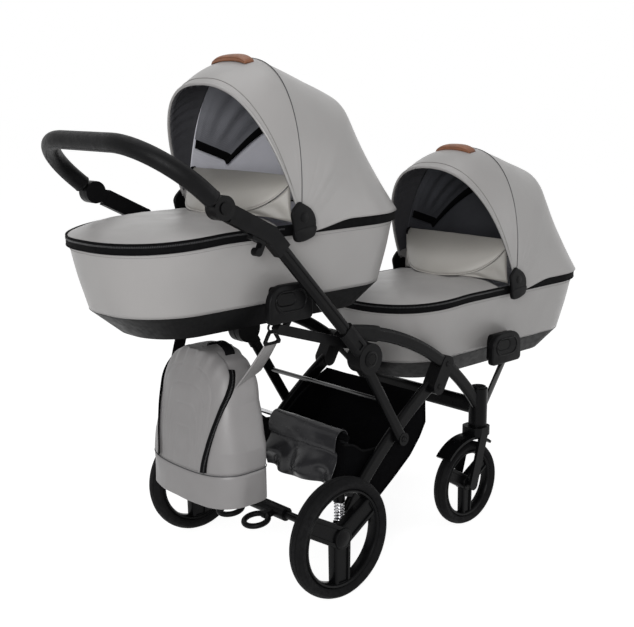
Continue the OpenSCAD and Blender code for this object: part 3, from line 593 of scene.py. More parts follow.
class PRAM_OT_carrycots(bpy.types.Operator):
    """Walls, linings, trims, aprons, wind flaps and mattresses of both carrycots"""
    bl_idname = "pram.carrycots"
    bl_label = "Carrycots"

    def execute(self, context):
        look, sizes = finishes(), context.scene.pram_sizes
        for which in COTS:
            self.wall(which, look, sizes)
            self.trim(which, look)
            self.apron(which, look, sizes)
            self.flap(which, look, sizes)
            self.mattress(which, look)
        return {"FINISHED"}

    def wall(self, which, look, sizes):
        place, body = cot_space(which), which + "_cot"

        def outer(u, v):
            x0, y0, nx, ny = rim_line(u, *RIM)
            x1, y1, _, _ = rim_line(u, *LOW)
            s = 1 - v
            out = 2.5 * math.sin(math.pi * s) + 0.9 * noise.noise(Vector((x0, y0, 163 * s)) / 75)
            return place(x0 + (x1 - x0) * s + nx * out, y0 + (y1 - y0) * s + ny * out, 3 - 168 * s - droop(x0) * v)

        bm = grid(200, 18, outer, closed=True)
        face_away(bm, place(0, 0, -80))
        wall = piece(f"{which}_wall", bm, body, look["leather"], "cot_leather", [f"{which}_cot_wall"])
        sheet(wall, sizes.cloth)

        def inner(u, v):
            x0, y0, nx, ny = rim_line(u, *(n - 8 for n in RIM))
            x1, y1, _, _ = rim_line(u, *(n - 8 for n in LOW))
            s = 1 - v
            fold = 1.6 * math.sin(u * 150) * s * (1 - s) * 4
            return place(x0 + (x1 - x0) * s - nx * fold, y0 + (y1 - y0) * s - ny * fold, 9 - 176 * s - droop(x0) * v)

        bm = grid(240, 12, inner, closed=True)
        face_away(bm, place(0, 0, -80))
        bmesh.ops.reverse_faces(bm, faces=bm.faces)
        lining = piece(f"{which}_lining", bm, body, look["lining"], "cot_leather")
        sheet(lining, 0.0015)
        # Hem stitches under the trim
        line = [outer(i / 400, 0.86) for i in range(401)]
        bm = dashes(line, lambda p: place(0, 0, -60) + Vector((p.x - place(0, 0, 0).x, 0, 0)) * 0.9,
                    0.0052, 0.0034, 0.0007, 0.0012)
        piece(f"{which}_wall_stitches", bm, body, look["thread"], "cot_leather")

    def trim(self, which, look):
        place, body = cot_space(which), which + "_cot"

        def band(u, v):
            x, y, nx, ny = rim_line(u, *RIM)
            out = 4.2 - 1.6 * abs(2 * v - 1) ** 6 + 0.25 * noise.noise(Vector((x, y, 40 * v)) / 30)
            return place(x + nx * out, y + ny * out, -11 + 22 * v - droop(x))

        bm = grid(220, 10, band, closed=True)
        face_away(bm, place(0, 0, 0))
        trim = piece(f"{which}_trim", bm, body, look["webbing"], "trim_black", [f"{which}_cot_trim"])
        sheet(trim, 0.0025)
        bm = bmesh.new()
        for z in (-10.4, 10.4):
            line = []
            for i in range(240):
                x, y, nx, ny = rim_line(i / 240, *RIM)
                line.append(place(x + nx * 3.2, y + ny * 3.2, z - droop(x)))
            put_in(bm, tube_mesh(line, 0.0017, closed=True))
        piece(f"{which}_trim_piping", bm, body, look["webbing"], "trim_black")
        line = []
        for i in range(321):
            x, y, nx, ny = rim_line(0.27 + 0.46 * i / 320, *RIM)
            line.append(place(x + nx * 4.4, y + ny * 4.4, 4.5 - droop(x)))
        bm = dashes(line, lambda p: place(0, 0, 4.5), 0.0036, 0.0021, 0.0042, 0.0014)
        piece(f"{which}_zip_teeth", bm, body, look["teeth"], "trim_black")

    def apron(self, which, look, sizes):
        place, body, rise = cot_space(which), which + "_cot", sizes.apron_rise * 1000
        foot, front = 1 - RIM[0], -58

        def shape(u, v):
            x = foot + (front - foot) * (1 - math.cos(v * math.pi / 2))
            y = (2 * u - 1) * half_width(x) * 0.998
            d = max(inside_by(x, y), 0)
            soft = min(d / 60, 1)
            ripple = 1.5 * noise.noise(Vector((x, y, 7)) / 95) + 0.7 * noise.noise(Vector((x * 1.4, y, 31)) / 38)
            # Shallow drag lines run from the flap's ends towards the foot
            pull = 1.6 * math.sin((abs(y) - 60 + (x - front) * 0.42) / 15) * math.exp(-((x - front) / 110) ** 2)
            return place(x, y, apron_height(x, y, rise) + soft * (ripple + pull * min(d / 90, 1)))

        bm = grid(84, 84, shape)
        face_away(bm, place(-230, 0, -400))
        apron = piece(f"{which}_apron", bm, body, look["leather"], "cot_leather", [f"{which}_cot_apron"])
        sheet(apron, sizes.cloth)

    def flap(self, which, look, sizes):
        place, body = cot_space(which), which + "_cot"
        rise, top = sizes.apron_rise * 1000, sizes.flap_height * 1000 + COTS[which]["flap"]

        def low_edge(s):
            a = abs(s)
            x, y = -7.5 - 111 * (1 - a ** 1.86), 184 * s
            foot = apron_height(x, y, rise) + 3
            return Vector((x, y, foot + (top - 16 - foot) * a ** 4))

        def shape(u, v):
            s = 2 * u - 1
            a = abs(s)
            p = low_edge(s).lerp(Vector((8 - 6 * (1 - a * a), 190 * s, top - 3 * a * a)), v)
            swell = 24 * math.sin(math.pi * v ** 0.75) * (1 - a ** 2.5)
            return place(p.x - 0.66 * swell, p.y, p.z + 0.5 * swell + 0.8 * noise.noise(p / 40))

        bm = grid(56, 24, shape)
        face_away(bm, place(250, 0, 0))
        flap = piece(f"{which}_wind_flap", bm, body, look["pale"], "pale_leather", [f"{which}_cot_flap"])
        thicken(flap, 0.008)
        smooth = flap.modifiers.new("soft", "SUBSURF")
        smooth.levels = smooth.render_levels = 1
        edge = [shape(i / 80, 0.0) for i in range(81)]
        piece(f"{which}_flap_piping", tube_mesh(edge, 0.0022), body, look["pale"], "pale_leather")
        # Gussets close the sides below the shield
        for word, side in reversed(SIDES):

            def gusset(u, v):
                up = low_edge(side * (0.4 + 0.58 * u)) + Vector((5, 0, -2))
                x, y = -84 + 76 * u, side * (88 + 102 * u)
                foot = Vector((x, y, apron_height(x, y, rise) + 0.8))
                p = foot.lerp(up, v)
                return place(p.x + 2.5 * math.sin(u * 17 + v * 3) * v * (1 - v) * 4, p.y, p.z)

            bm = grid(24, 10, gusset)
            face_away(bm, place(150, 0, 0))
            o = piece(f"{which}_flap_gusset_{word}", bm, body, look["pale"], "pale_leather")
            sheet(o, 0.0018)
            a = shape(0.5 + side * 0.488, 0.45)
            loop = [a + Vector((x, side * y, z)) for x, y, z in ((-0.006, 0, -0.006), (-0.003, 0.004, 0.002),
                                                                 (0.006, 0.006, 0.009), (0.016, 0.006, 0.01))]
            piece(f"{which}_flap_loop_{word}", tube_mesh(loop, 0.0032), body, look["webbing"], "trim_black")

    def mattress(self, which, look):
        place, body = cot_space(which), which + "_cot"
        low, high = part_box(f"{which}_cot_mattress")
        half, thick = (high - low) / 2, (high.z - low.z)
        level = (low.z + high.z) / 2 - place(0, 0, 0).z

        def shape(u, v):
            a = -math.pi / 2 + math.pi * v
            x, y, nx, ny = rim_line(u, half.x * 1000, half.y * 1000, half.y * 1000 - 15)
            k = math.cos(a) ** 0.35 if 0 < v < 1 else 0
            z = math.copysign(abs(math.sin(a)) ** 0.55, math.sin(a))
            crown = 4 * (1 - k) if z > 0 else 0
            dent = -1.4 * abs(math.sin(u * 60)) * (1 - abs(z))
            up = Vector((0, 0, level + z * (thick / 2 - 0.003) + crown / 1000))
            return place(x * k + nx * dent, y * k + ny * dent, 0) + up

        bm = grid(120, 22, shape, closed=True)
        bmesh.ops.recalc_face_normals(bm, faces=bm.faces)
        o = piece(f"{which}_mattress", bm, body, look["cotton"], "mattress", [f"{which}_cot_mattress"])


class PRAM_OT_hoods(bpy.types.Operator):
    """Hoods with their seams, linings, window panels, hinge covers and carry handles"""
    bl_idname = "pram.hoods"
    bl_label = "Hoods"

    def execute(self, context):
        look, sizes = finishes(), context.scene.pram_sizes
        for which in COTS:
            self.cloth(which, look, sizes)
            self.handle(which, look)
            self.hubs(which, look)
        return {"FINISHED"}

    def cloth(self, which, look, sizes):
        def drape(m, phi, p):
            # Cloth sags a little between its bows and gathers towards the hinges
            low = abs(math.sin(phi))
            side = low ** 6
            gather = 0.8 * math.sin(m * 9 + 3 * phi) * side * min(m, 1) * (1 - low ** 40)
            gather += 1.6 * noise.noise(Vector((m * 3.2, phi * 1.4, 5))) * side * min(m, 1) * (1 - low ** 30)
            still = 1.2 * noise.noise(p / 80)
            return Vector((0, math.copysign(gather, phi), 0)) + Vector((still, 0, still)) * max(math.cos(phi), 0)

        hood = hood_sheet(f"{which}_hood", which, (0, 3), (-88, 88), 0, (150, 96), look["leather"], "cot_leather",
                          drape)
        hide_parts(f"{which}_hood_front", f"{which}_hood_rear")
        sheet(hood, sizes.cloth)
        hood_line(f"{which}_visor_piping", which, 0.02, (-87, 87), 0, 0.0032, look["leather"], "cot_leather")
        hood_line(f"{which}_seam_piping", which, 1.0, (-87, 87), -0.4, 0.0010, look["black_thread"], "trim_black")
        hood_line(f"{which}_visor_hem", which, 0.14, (-86, 86), -0.2, 0.0009, look["thread"], "cot_leather")

        def folds(m, phi, p):
            deep = 4 * math.sin(phi * 11 + 2.2 * math.sin(m * 3)) * math.cos(phi)
            return inward(p) * (5 + deep * ease((m - 2.1) * 4) * ease((2.98 - m) * 4))

        # The rear hood takes the plain lining and panel cloths, the front hood a darker copy of them: painted shade
        # inside the front hood
        light = which == "rear"
        lining = hood_sheet(f"{which}_hood_lining", which, (1.0, 2.98), (-84, 84), 7, (120, 44),
                            look["lining" if light else "shade_lining"], "cot_leather", folds)
        sheet(lining, 0.001, 0)

        def ribs(m, phi, p):
            return inward(p) * (1.4 * math.sin(phi * 62))

        visor = hood_sheet(f"{which}_visor_lining", which, (0.03, 1.06), (-85, 85), 6, (340, 10), look["dark_lining"],
                           "trim_black", ribs)
        sheet(visor, 0.001, 0)

        # Airing panel inside, held by a zip along the rear bow and one low on each side
        def gathers(m, phi, p):
            loose = math.sin(math.pi * min(max((m - 0.98) / 1.06, 0), 1)) * (1 - ease((abs(phi) - 0.95) * 5))
            wave = 4.5 * math.sin(m * 21 + 1.4 * math.sin(phi * 2.3))
            return inward(p) * (wave * loose + 3 * loose - 11 * ease((1.1 - m) * 8))

        # In the front hood the panel too takes the darker copy, painted shade
        panel = hood_sheet(f"{which}_window_panel", which, (0.98, 2.06), (-67, 67), 17, (90, 60),
                           look["panel" if light else "shade_lining"], "trim_black", gathers)
        sheet(panel, 0.001, 0)
        for word, ms, phis, counts in (("bow", (2.0, 2.1), (-68, 68), (90, 3)),
                                       ("left", (0.98, 2.08), (65, 69), (3, 40)),
                                       ("right", (0.98, 2.08), (-69, -65), (3, 40))):
            tape = hood_sheet(f"{which}_{word}_zip", which, ms, phis, 20, counts, look["webbing"], "trim_black")
            sheet(tape, 0.0016, 0)

    def handle(self, which, look):
        place, body = cot_space(which), which + "_hood"
        seam_deg, seam_r = COTS[which]["seam"]
        visor_deg, visor_r = COTS[which]["visor"]
        deg = 92.5
        top = seam_r + (visor_r - seam_r) * ((deg - seam_deg) / (visor_deg - seam_deg)) ** 1.5

        def shape(u, v):
            a = 2 * math.pi * u
            s = 2 * v - 1
            end = math.sqrt(max(1 - abs(s) ** 5, 0))
            y = 62 * s
            base = top * (1 - (abs(y) / HALF_W) ** ARCH) ** (1 / ARCH)
            across = 16 * math.copysign(abs(math.cos(a)) ** 0.6, math.cos(a)) * (0.8 + 0.2 * end)
            up = math.sin(a)
            r = base - 0.4 + (13 * end * up ** 0.7 if up > 0 else 0) - across * 0.12
            t = math.radians(deg)
            return place(r * math.cos(t) - across * math.sin(t), y, HINGE_Z + r * math.sin(t) + across * math.cos(t))

        bm = grid(48, 44, shape, closed=True)
        bmesh.ops.holes_fill(bm, edges=[e for e in bm.edges if e.is_boundary], sides=0)
        bmesh.ops.recalc_face_normals(bm, faces=bm.faces)
        o = piece(f"{which}_carry_handle", bm, body, look["brown"], "brown_leather", [f"{which}_hood_handle"])
        bm = bmesh.new()
        for u in (0.08, 0.42):
            line = [shape(u, 0.04 + 0.92 * i / 60) for i in range(61)]
            put_in(bm, dashes(line, lambda p: p - Vector((0, 0, 1)), 0.0048, 0.0032, 0.0009, 0.0012))
        piece(f"{which}_handle_stitches", bm, body, look["brown_thread"], "brown_leather")

    def hubs(self, which, look):
        place, body = cot_space(which), which + "_cot"
        leaf = [(-12, 62), (-2, 58), (8, 53), (21, 45), (30, 34), (35, 22), (36, 9), (34, -7), (27, -17), (6, -24),
                (-10, -26), (-21, -25), (-27, -18), (-28, -4), (-31, 16), (-35, 34), (-31, 45), (-23, 54)]
        boot = [(35, 6), (34, -7), (27, -17), (6, -24), (-10, -26), (-21, -25), (-27, -18), (-28, -2), (-10, 4),
                (14, 7)]
        for word, side in reversed(SIDES):

            def upright(out):
                return Matrix.Translation(place(0, side * out, 0)) @ Matrix.Rotation(math.radians(90), 4, "X")

            bm = plate_mesh([rounded(leaf)], 0.0092, 0.0034, upright(217.3))
            # Lower half is a boot over the trim, and a low boss marks the hinge
            put_in(bm, plate_mesh([rounded(boot)], 0.0118, 0.003, upright(217.6)))
            boss = [(0, 0), (0.0115, 0), (0.0115, 0.0009), (0.0105, 0.0016), (0, 0.0018)]
            put_in(bm, spun([(r, y * side) for r, y in boss], place(0, side * 221.7, HINGE_Z + 6), 48))
            put_in(bm, block_mesh(place(4, side * 208.6, -14), (0.034, 0.0094, 0.018)))
            o = piece(f"{which}_hinge_cover_{word}", bm, body, look["plastic"], "black_plastic", crisp=35)
            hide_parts(f"{which}_hood_hubs")


class PRAM_OT_brackets(bpy.types.Operator):
    """Brackets by which the carrycots stand on their posts"""
    bl_idname = "pram.brackets"
    bl_label = "Brackets"

    def execute(self, context):
        look = finishes()
        for which in COTS:
            place = cot_space(which)
            for word, side in SIDES:
                stand = Matrix.Translation(place(0, side * 205, 0)) @ Matrix.Rotation(math.radians(90), 4, "X")
                pocket = round_box(-74.4, -21.6, -163.4, -136.6, 13.3, 13.3)
                bm = plate_mesh([round_box(-97, 31, -203, -117, 12, 42), pocket], 0.018, 0.004, stand)
                put_in(bm, block_mesh(place(-17, side * 179.5, -164), (0.086, 0.037, 0.074), 0.006))
                o = piece(f"{which}_bracket_{word}", bm, f"{which}_cot", look["plastic"], "black_plastic", crisp=30)
                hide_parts(f"{which}_cot_brackets")
                # Raised rim round the release button
                rim = [place(x * 1000, side * 213.8, z * 1000) for x, z in round_box(-79, 10, -178, -132, 22.9, 22.9)]
                piece(f"{which}_bracket_rim_{word}", tube_mesh(rim, 0.0024, closed=True), f"{which}_cot", look["satin"],
                      "black_plastic")
        return {"FINISHED"}


class PRAM_OT_wheels(bpy.types.Operator):
    """Tyres and spoked rims of the four wheels"""
    bl_idname = "pram.wheels"
    bl_label = "Wheels"

    def execute(self, context):
        look = finishes()
        for end, thick, hub in (("rear", 0.026, 0.027), ("front", 0.022, 0.02)):
            for word, side in SIDES:
                self.wheel(f"{end}_tyre_{word}", f"{end}_rim_{word}", f"{end}_wheel_{word}", side, look, thick, hub)
        return {"FINISHED"}

    def wheel(self, tyre, rim, body, side, look, thick, hub):
        low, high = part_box(tyre)
        centre, big, half = (low + high) / 2, (high.z - low.z) / 2, (high.y - low.y) / 2
        inner = big - thick
        profile = [(inner, -0.62 * half), (inner + 0.004, -0.8 * half), (inner + 0.4 * thick, -0.98 * half),
                   (inner + 0.62 * thick, -0.985 * half), (big - 0.0052, -0.8 * half), (big - 0.0046, -0.74 * half),
                   (big - 0.0054, -0.70 * half), (big - 0.002, -0.52 * half), (big - 0.0006, -0.28 * half),
                   (big - 0.0016, -0.25 * half), (big - 0.0016, -0.21 * half), (big - 0.0004, -0.18 * half)]
        profile += [(big, 0.0)] + [(r, -y) for r, y in reversed(profile)]
        piece(tyre + "_rubber", spun(profile, centre, 128), body, look["tyre"], "tyre", [tyre], crisp=40)
        r = inner - 0.0002
        ring = [(r, -0.6 * half), (r, 0.6 * half), (r - 0.0035, 0.74 * half), (r - 0.0075, 0.66 * half),
                (r - 0.0105, 0.42 * half), (r - 0.0105, -0.42 * half), (r - 0.0075, -0.66 * half),
                (r - 0.0035, -0.74 * half)]
        bm = spun(ring, centre, 128)
        face = half * 0.55
        cap = [(0.0, -0.9 * half * side), (hub, -0.9 * half * side), (hub, face * side * 0.9),
               (hub - 0.0015, face * side * 1.16), (hub - 0.005, face * side * 1.2), (hub - 0.0062, face * side * 1.14),
               (hub - 0.0074, face * side * 1.2), (0.004, face * side * 1.26), (0.0, face * side * 1.26)]
        put_in(bm, spun(cap, centre, 64))
        for deg in (-90, 30, 150):
            spoke = bmesh.new()
            length = r - 0.005 - hub * 0.5
            bmesh.ops.create_cube(spoke, size=1, matrix=Matrix.Diagonal((length, 2 * face, hub * 1.95, 1)))
            for v in spoke.verts:
                if v.co.x > 0:
                    v.co.z *= 0.94
            longest = [e for e in spoke.edges if abs((e.verts[0].co - e.verts[1].co).normalized().x) > 0.9]
            bmesh.ops.bevel(spoke, geom=longest, offset=0.004, offset_type="OFFSET", segments=3, profile=0.5,
                            affect="EDGES", material=-1)
            for way in (-1, 1):
                spoke.normal_update()
                lid = max((f for f in spoke.faces if f.normal.y * way > 0.9), key=lambda f: f.calc_area())
                bmesh.ops.inset_region(spoke, faces=[lid], thickness=hub * 0.3, depth=0)
                bmesh.ops.inset_region(spoke, faces=[lid], thickness=0.0015, depth=-0.0035)
            turn = Matrix.Translation(centre) @ Matrix.Rotation(math.radians(-deg), 4, "Y")
            seat = Matrix.Translation((hub * 0.5 + length / 2, 0, 0))
            bmesh.ops.transform(spoke, matrix=turn @ seat, verts=spoke.verts)
            put_in(bm, spoke)
        piece(rim + "_spokes", bm, body, look["satin"], "wheel_plastic", [rim], crisp=35)


def bag_trim(name, bm, material, crisp=None):
    """A piece sewn or clipped to the bag."""
    return piece(name, bm, "hanging_bag", material, "bag_leather", crisp=crisp)


class PRAM_OT_bag(bpy.types.Operator):
    """Hanging bag with its zips, straps and grab loop"""
    bl_idname = "pram.bag"
    bl_label = "Bag"

    def execute(self, context):
        look = finishes()
        low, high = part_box("bag")
        mid, half = (low + high) / 2, (high - low) / 2
        foot, top = low.z * 1000, high.z * 1000
        steps, zip_width = 60, 0.017

        def half_wide(z):
            """Half the bag's width, drawn in towards its rounded top."""
            over = max(z - top + 110, 0)
            taper = min(max((z - foot - 140) / (top - foot - 254), 0), 1)
            return half.y * 1000 - 24 * taper - 110 + math.sqrt(max(110 ** 2 - over ** 2, 0))

        def zip_turn(z):
            """Share of the way round, from the rear's middle, at which the two curved zips run."""
            return min(0.062 + 0.235 * min(max((z - foot - 89) / (top - foot - 100), 0), 1) ** 1.9, 0.245)

        def level(z):
            """Share of the way up the bag's grid at a height."""
            return 0.1 + 0.82 * (z - foot - 11) / (top - foot - 14)

        def shape(u, v, detail=1):
            a = 2 * math.pi * u
            if v < 0.1:
                t = v / 0.1 * math.pi / 2
                k, z = math.sin(t) ** 0.55, foot + 2 + 9 * (1 - math.cos(t))
            elif v < 0.92:
                k, z = 1.0, foot + 11 + (v - 0.1) / 0.82 * (top - foot - 14)
            else:
                t = (v - 0.92) / 0.08 * math.pi / 2
                k, z = math.cos(t) ** 0.8 if v < 1 else 0.0, top - 3 + 2.5 * math.sin(t)
            c, s = math.cos(a), math.sin(a)
            over = max(z - top + 100, 0) / 100
            lean = 0.5 * min(max((z - foot - 84) / (top - foot - 84), 0), 1) ** 1.15 if c < 0 else 0
            deep = half.x * 1000 * (1 - lean) * (1 - (0.2 if c > 0 else 0.35) * over ** 2.2)
            x = deep * math.copysign(abs(c) ** (0.42 if c > 0 else 0.8), c) * k ** 0.7
            y = half_wide(z) * math.copysign(abs(s) ** (0.46 if c > 0 else 0.62), s) * k
            out, turn = 0.0, abs(u - 0.5)
            seam = foot + 84 + 5 * abs(s)
            if z > seam and turn < zip_turn(z) - 0.004:
                # Sewn channels on the middle panel, in nested arches
                across = turn / zip_turn(z)
                for rise, wide in ((236, 0.84), (196, 0.62), (150, 0.4), (100, 0.2)):
                    q = (z - seam) / rise
                    if q < 1:
                        out -= 1.5 * math.exp(-((across - wide * math.sqrt(1 - q ** 1.6)) / 0.035) ** 2)
            if z > seam:
                out -= 3.0 * math.exp(-((turn - zip_turn(z)) / 0.009) ** 2)
            out -= 2.8 * math.exp(-((z - seam) / 3.4) ** 2) * (1 if k == 1 else 0)
            # Cloth gathers where the top is drawn together, and sags in soft folds
            out -= 2.2 * (1 + math.sin(y / 5.5 + z / 40)) * over ** 1.5
            out += (2.4 * noise.noise(Vector((x, y, z)) / 70) + 1.0 * noise.noise(Vector((x, y, z * 0.5)) / 28)) * k
            return Vector((mid.x + x / 1000, mid.y + y / 1000, z / 1000)) + Vector((c, s, 0)) * out * detail / 1000

        bm = grid(260, 150, shape, closed=True)
        bmesh.ops.recalc_face_normals(bm, faces=bm.faces)
        bag = piece("bag_body", bm, "hanging_bag", look["bag"], "bag_fill", ["bag"])

        def core(p):
            """Point on the bag's middle line, a little under p."""
            return Vector((mid.x, 0, p.z - 0.02))

        for word, side in FLANKS:
            heights = [foot + 90 + (top - foot - 126) * i / steps for i in range(steps + 1)]
            run = [shape(0.5 - side * zip_turn(z), level(z), 0) for z in heights]
            for _ in range(8):
                run[1:-1] = [(run[i - 1] + run[i] * 2 + run[i + 1]) / 4 for i in range(1, steps)]

            def tape(u, v):
                i = round(v * steps)
                along = (run[min(i + 1, steps)] - run[max(i - 1, 0)]).normalized()
                out = (run[i] - core(run[i])).normalized()
                rise = 0.0012 + 0.0022 * (1 - abs(2 * u - 1))
                return run[i] + along.cross(out).normalized() * zip_width * (u - 0.5) + out * rise

            bm = grid(4, steps, tape)
            face_away(bm, Vector((mid.x, 0, 0.42)))
            o = bag_trim(f"bag_zip_{word}", bm, look["webbing"])
            sheet(o, 0.0014)
            teeth = dashes([p + (p - core(p)).normalized() * 0.0036 for p in run], core, 0.0034, 0.002, 0.0034, 0.0012)
            bag_trim(f"bag_zip_teeth_{word}", teeth, look["teeth"])
        # Piping in the seam over the base panel
        line = []
        for i in range(240):
            z = foot + 84 + 5 * abs(math.sin(math.pi * i / 120))
            p = shape(i / 240, level(z), 0)
            line.append(p + (p - Vector((mid.x, 0, p.z))).normalized() * 0.0002)
        bag_trim("bag_seam_piping", tube_mesh(line, 0.0012, closed=True), look["black_thread"])
        self.straps(look, low, high)
        return {"FINISHED"}

    def straps(self, look, low, high):
        peg_x, peg_z = -107.3, 646
        for word, side in FLANKS:

            def shape(u, v):
                # Each strap widens from its clip into a tab sewn to the bag's side
                back = Vector((-119, 165, 608)).lerp(Vector((-183, 124, 501)), v)
                fore = Vector((-82, 165, 611)).lerp(Vector((-91, 113, 532) if side < 0 else (-146, 124, 514)), v)
                p = back.lerp(fore, u)
                return axle_space(p.x, side * (p.y + 2.5 * math.sin(math.pi * v)), p.z)

            bm = grid(12, 40, shape)
            face_away(bm, axle_space(-148, 0, peg_z - 100))
            # The far strap takes black webbing where the near one has the bag's leather: painted shade on the bag's far
            # side
            strap = bag_trim(f"bag_strap_{word}", bm, look["bag" if side < 0 else "webbing"])
            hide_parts("bag_straps")
            sheet(strap, 0.0026)
            bm = bmesh.new()
            for u in (0.1, 0.9):
                line = [shape(u, 0.06 + 0.9 * i / 30) for i in range(31)]
                put_in(bm, dashes(line, lambda p: p - Vector((0, side, 0)), 0.0046, 0.003, 0.0008, 0.001))
            bag_trim(f"bag_strap_stitches_{word}", bm, look["thread"])
            # Clip: a ring on the peg and a wide eye that the strap is sewn round
            eye = [(-10, -8), (10, -8), (14, -14), (25, -33), (22, -40), (-22, -40), (-25, -33), (-14, -14)]
            hole = [(-5, -15), (5, -15), (15, -31), (12, -34), (-12, -34), (-15, -31)]
            seat = Matrix.Translation(axle_space(peg_x, side * 169, peg_z)) @ Matrix.Rotation(math.pi / 2, 4, "X")
            clip = plate_mesh([[((x + 3) / 1000, z / 1000) for x, z in line] for line in (eye, hole)], 0.0066, 0.0016,
                              seat)
            ring = [axle_space(peg_x + 8.3 * math.sin(a), side * 170, peg_z + 8.3 * math.cos(a) - 0.4)
                    for a in (math.pi / 16 * i for i in range(32))]
            put_in(clip, tube_mesh(ring, 0.0026, closed=True))
            bag_trim(f"bag_clip_{word}", clip, look["plastic"], crisp=35)
        # Grab loop of black webbing on the bag's top
        mid_x = (low.x + high.x) / 2 + 0.024

        def loop(u, v):
            a = math.pi * v
            rise = high.z - 0.016 + 0.028 * math.sin(a)
            return Vector((mid_x + 0.013 * (2 * u - 1), -0.03 - 0.04 * math.cos(a), rise))

        bm = grid(4, 32, loop)
        face_away(bm, Vector((mid_x, 0, high.z - 0.04)))
        o = bag_trim("bag_grab_loop", bm, look["webbing"])
        sheet(o, 0.0024)


class PRAM_OT_basket(bpy.types.Operator):
    """Cloth basket with its leather flap and bar"""
    bl_idname = "pram.basket"
    bl_label = "Basket"

    def execute(self, context):
        look = finishes()
        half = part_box("basket")[1].y * 1000
        floor = [(104, 322), (104, 280), (105, 216), (150, 188), (226, 149), (290, 192), (346, 233), (382, 274),
                 (404, 310), (401, 386)]
        rim = [(104, 322), (140, 312), (170, 290), (200, 286), (230, 286), (262, 306), (290, 329), (330, 350),
               (368, 372), (401, 386)]

        def wrap(u, v):
            x, z = on_path(floor, v)
            y = (2 * u - 1) * half
            sag = 5 * (1 - (2 * u - 1) ** 2) * math.sin(math.pi * v) + 1.5 * noise.noise(Vector((x, y, z)) / 50)
            soft = min((1 - abs(2 * u - 1)) * 12, 1)
            return axle_space(x, y, z - sag * soft * 0.8 + 3)

        bm = grid(60, 80, wrap)
        face_away(bm, axle_space(250, 0, 330))
        cloth = piece("basket_floor", bm, "chassis", look["basket"], "basket_cloth", ["basket"])
        sheet(cloth, 0.002)
        for word, side in SIDES:

            def panel(u, v):
                x0, z0 = on_path(floor, u)
                x1, z1 = on_path(rim, u)
                x, z = x0 + (x1 - x0) * v, z0 + (z1 - z0) * v
                belly = 1.6 * noise.noise(Vector((x, z, side * 9)) / 45) * math.sin(math.pi * v)
                return axle_space(x, side * (half - 1.6 + belly - 1.5), z + 3 * (1 - v))

            bm = grid(80, 24, panel)
            face_away(bm, axle_space(250, 0, 260))
            o = piece(f"basket_side_{word}", bm, "chassis", look["basket"], "basket_cloth")
            sheet(o, 0.002)
            edge = [panel(i / 60, 1.0) for i in range(61)]
            piece(f"basket_binding_{word}", tube_mesh(edge, 0.0032), "chassis", look["webbing"], "basket_cloth")
        self.flap(look, half)
        return {"FINISHED"}

    def flap(self, look, half):
        near, far, hem = 20 - half, 80, 296
        path = [(136, 300), (138, 318), (137, 334), (133, 344), (126, 350), (118, 351), (110, 348), (103, 342),
                (98, 334), (95, 322), (93.5, 308), (94, 299), (99, 297.5), (101, 290), (100, 272), (100, 250),
                (102, 228), (106, 212)]

        def shape(u, v):
            x, z = on_path(path, v)
            y = near + u * (far - near)
            # Below the turned hem the leather swings out and hangs in soft slanting folds
            hang = ease((hem - z) / 45) if v > 0.5 else 0
            swing = hang * (8 + 22 * (hem - z) / (hem - path[-1][1]))
            warp = 14 * noise.noise(Vector((y / 70, z / 60, 3)))
            fold = 12 * math.sin((y + warp) / 27 + z / 24) + 5 * math.sin((y - warp) / 15 - z / 31 + 1)
            roll = 1.6 * noise.noise(Vector((x, y * 0.7, z)) / 26)
            return axle_space(x - swing - hang * fold + roll, y, z + 0.6 * roll)

        bm = grid(120, 90, shape)
        face_away(bm, axle_space(120, 0, 330))
        o = piece("basket_flap_leather", bm, "chassis", look["basket_leather"], "basket_leather", ["basket_flap"])
        sheet(o, 0.0022, 0)
        # Bar in the flap's roll, sleeved in cloth at the near end
        end = half - 3.4
        for name, ys, radius, key, slot in (("basket_bar", (near + 12, end), 0.006, "chrome", "spring_chrome"),
                                            ("basket_bar_sleeve", (-end, near + 30), 0.0082, "basket", "basket_cloth")):
            bm = tube_mesh([axle_space(120, y, 334) for y in ys], radius, sides=12)
            piece(name, bm, "chassis", look[key], slot)


class PRAM_OT_handle(bpy.types.Operator):
    """Stitching and collars of the handlebar's grip"""
    bl_idname = "pram.handle"
    bl_label = "Handlebar"

    def execute(self, context):
        look = finishes()
        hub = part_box("handle_button_right")
        mid = Vector(((hub[0].x + hub[1].x) / 2, 0, (hub[0].z + hub[1].z) / 2))
        tilt = math.radians(HANDLE_DEG)
        reach, under = Vector((math.cos(tilt), 0, math.sin(tilt))), Vector((-math.sin(tilt), 0, math.cos(tilt)))
        # Seam along the underside of the grip, following its bow
        line, bend, neck, far, start = [], 0.15, 0.246, 0.203, 0.032
        for i in range(10):
            line.append((start + (far - bend - start) * i / 10, neck))
        for i in range(25):
            a = math.pi / 2 * i / 24
            line.append((far - bend + bend * math.sin(a), neck - bend + bend * math.cos(a)))
        line += [(far, (neck - bend) * (1 - i / 12)) for i in range(1, 13)]
        line += [(r, -y) for r, y in reversed(line[:-1])]
        path = [mid + reach * r + Vector((0, y, 0)) + under * 0.0201 for r, y in line]
        bm = dashes(path, lambda p: p - under, 0.0056, 0.0036, 0.0012, 0.0014)
        piece("grip_stitches", bm, "handlebar", look["black_thread"], "grip_leather")
        bm = bmesh.new()
        for side in (-1, 1):
            ring = [mid + reach * (start - 0.001) + Vector((0, side * neck, 0))
                    + (Vector((0, 1, 0)) * math.cos(a) + under * math.sin(a)) * 0.0186
                    for a in (2 * math.pi * i / 40 for i in range(40))]
            put_in(bm, tube_mesh(ring, 0.0022, closed=True))
        piece("grip_collars", bm, "handlebar", look["satin"], "frame_black")
        return {"FINISHED"}


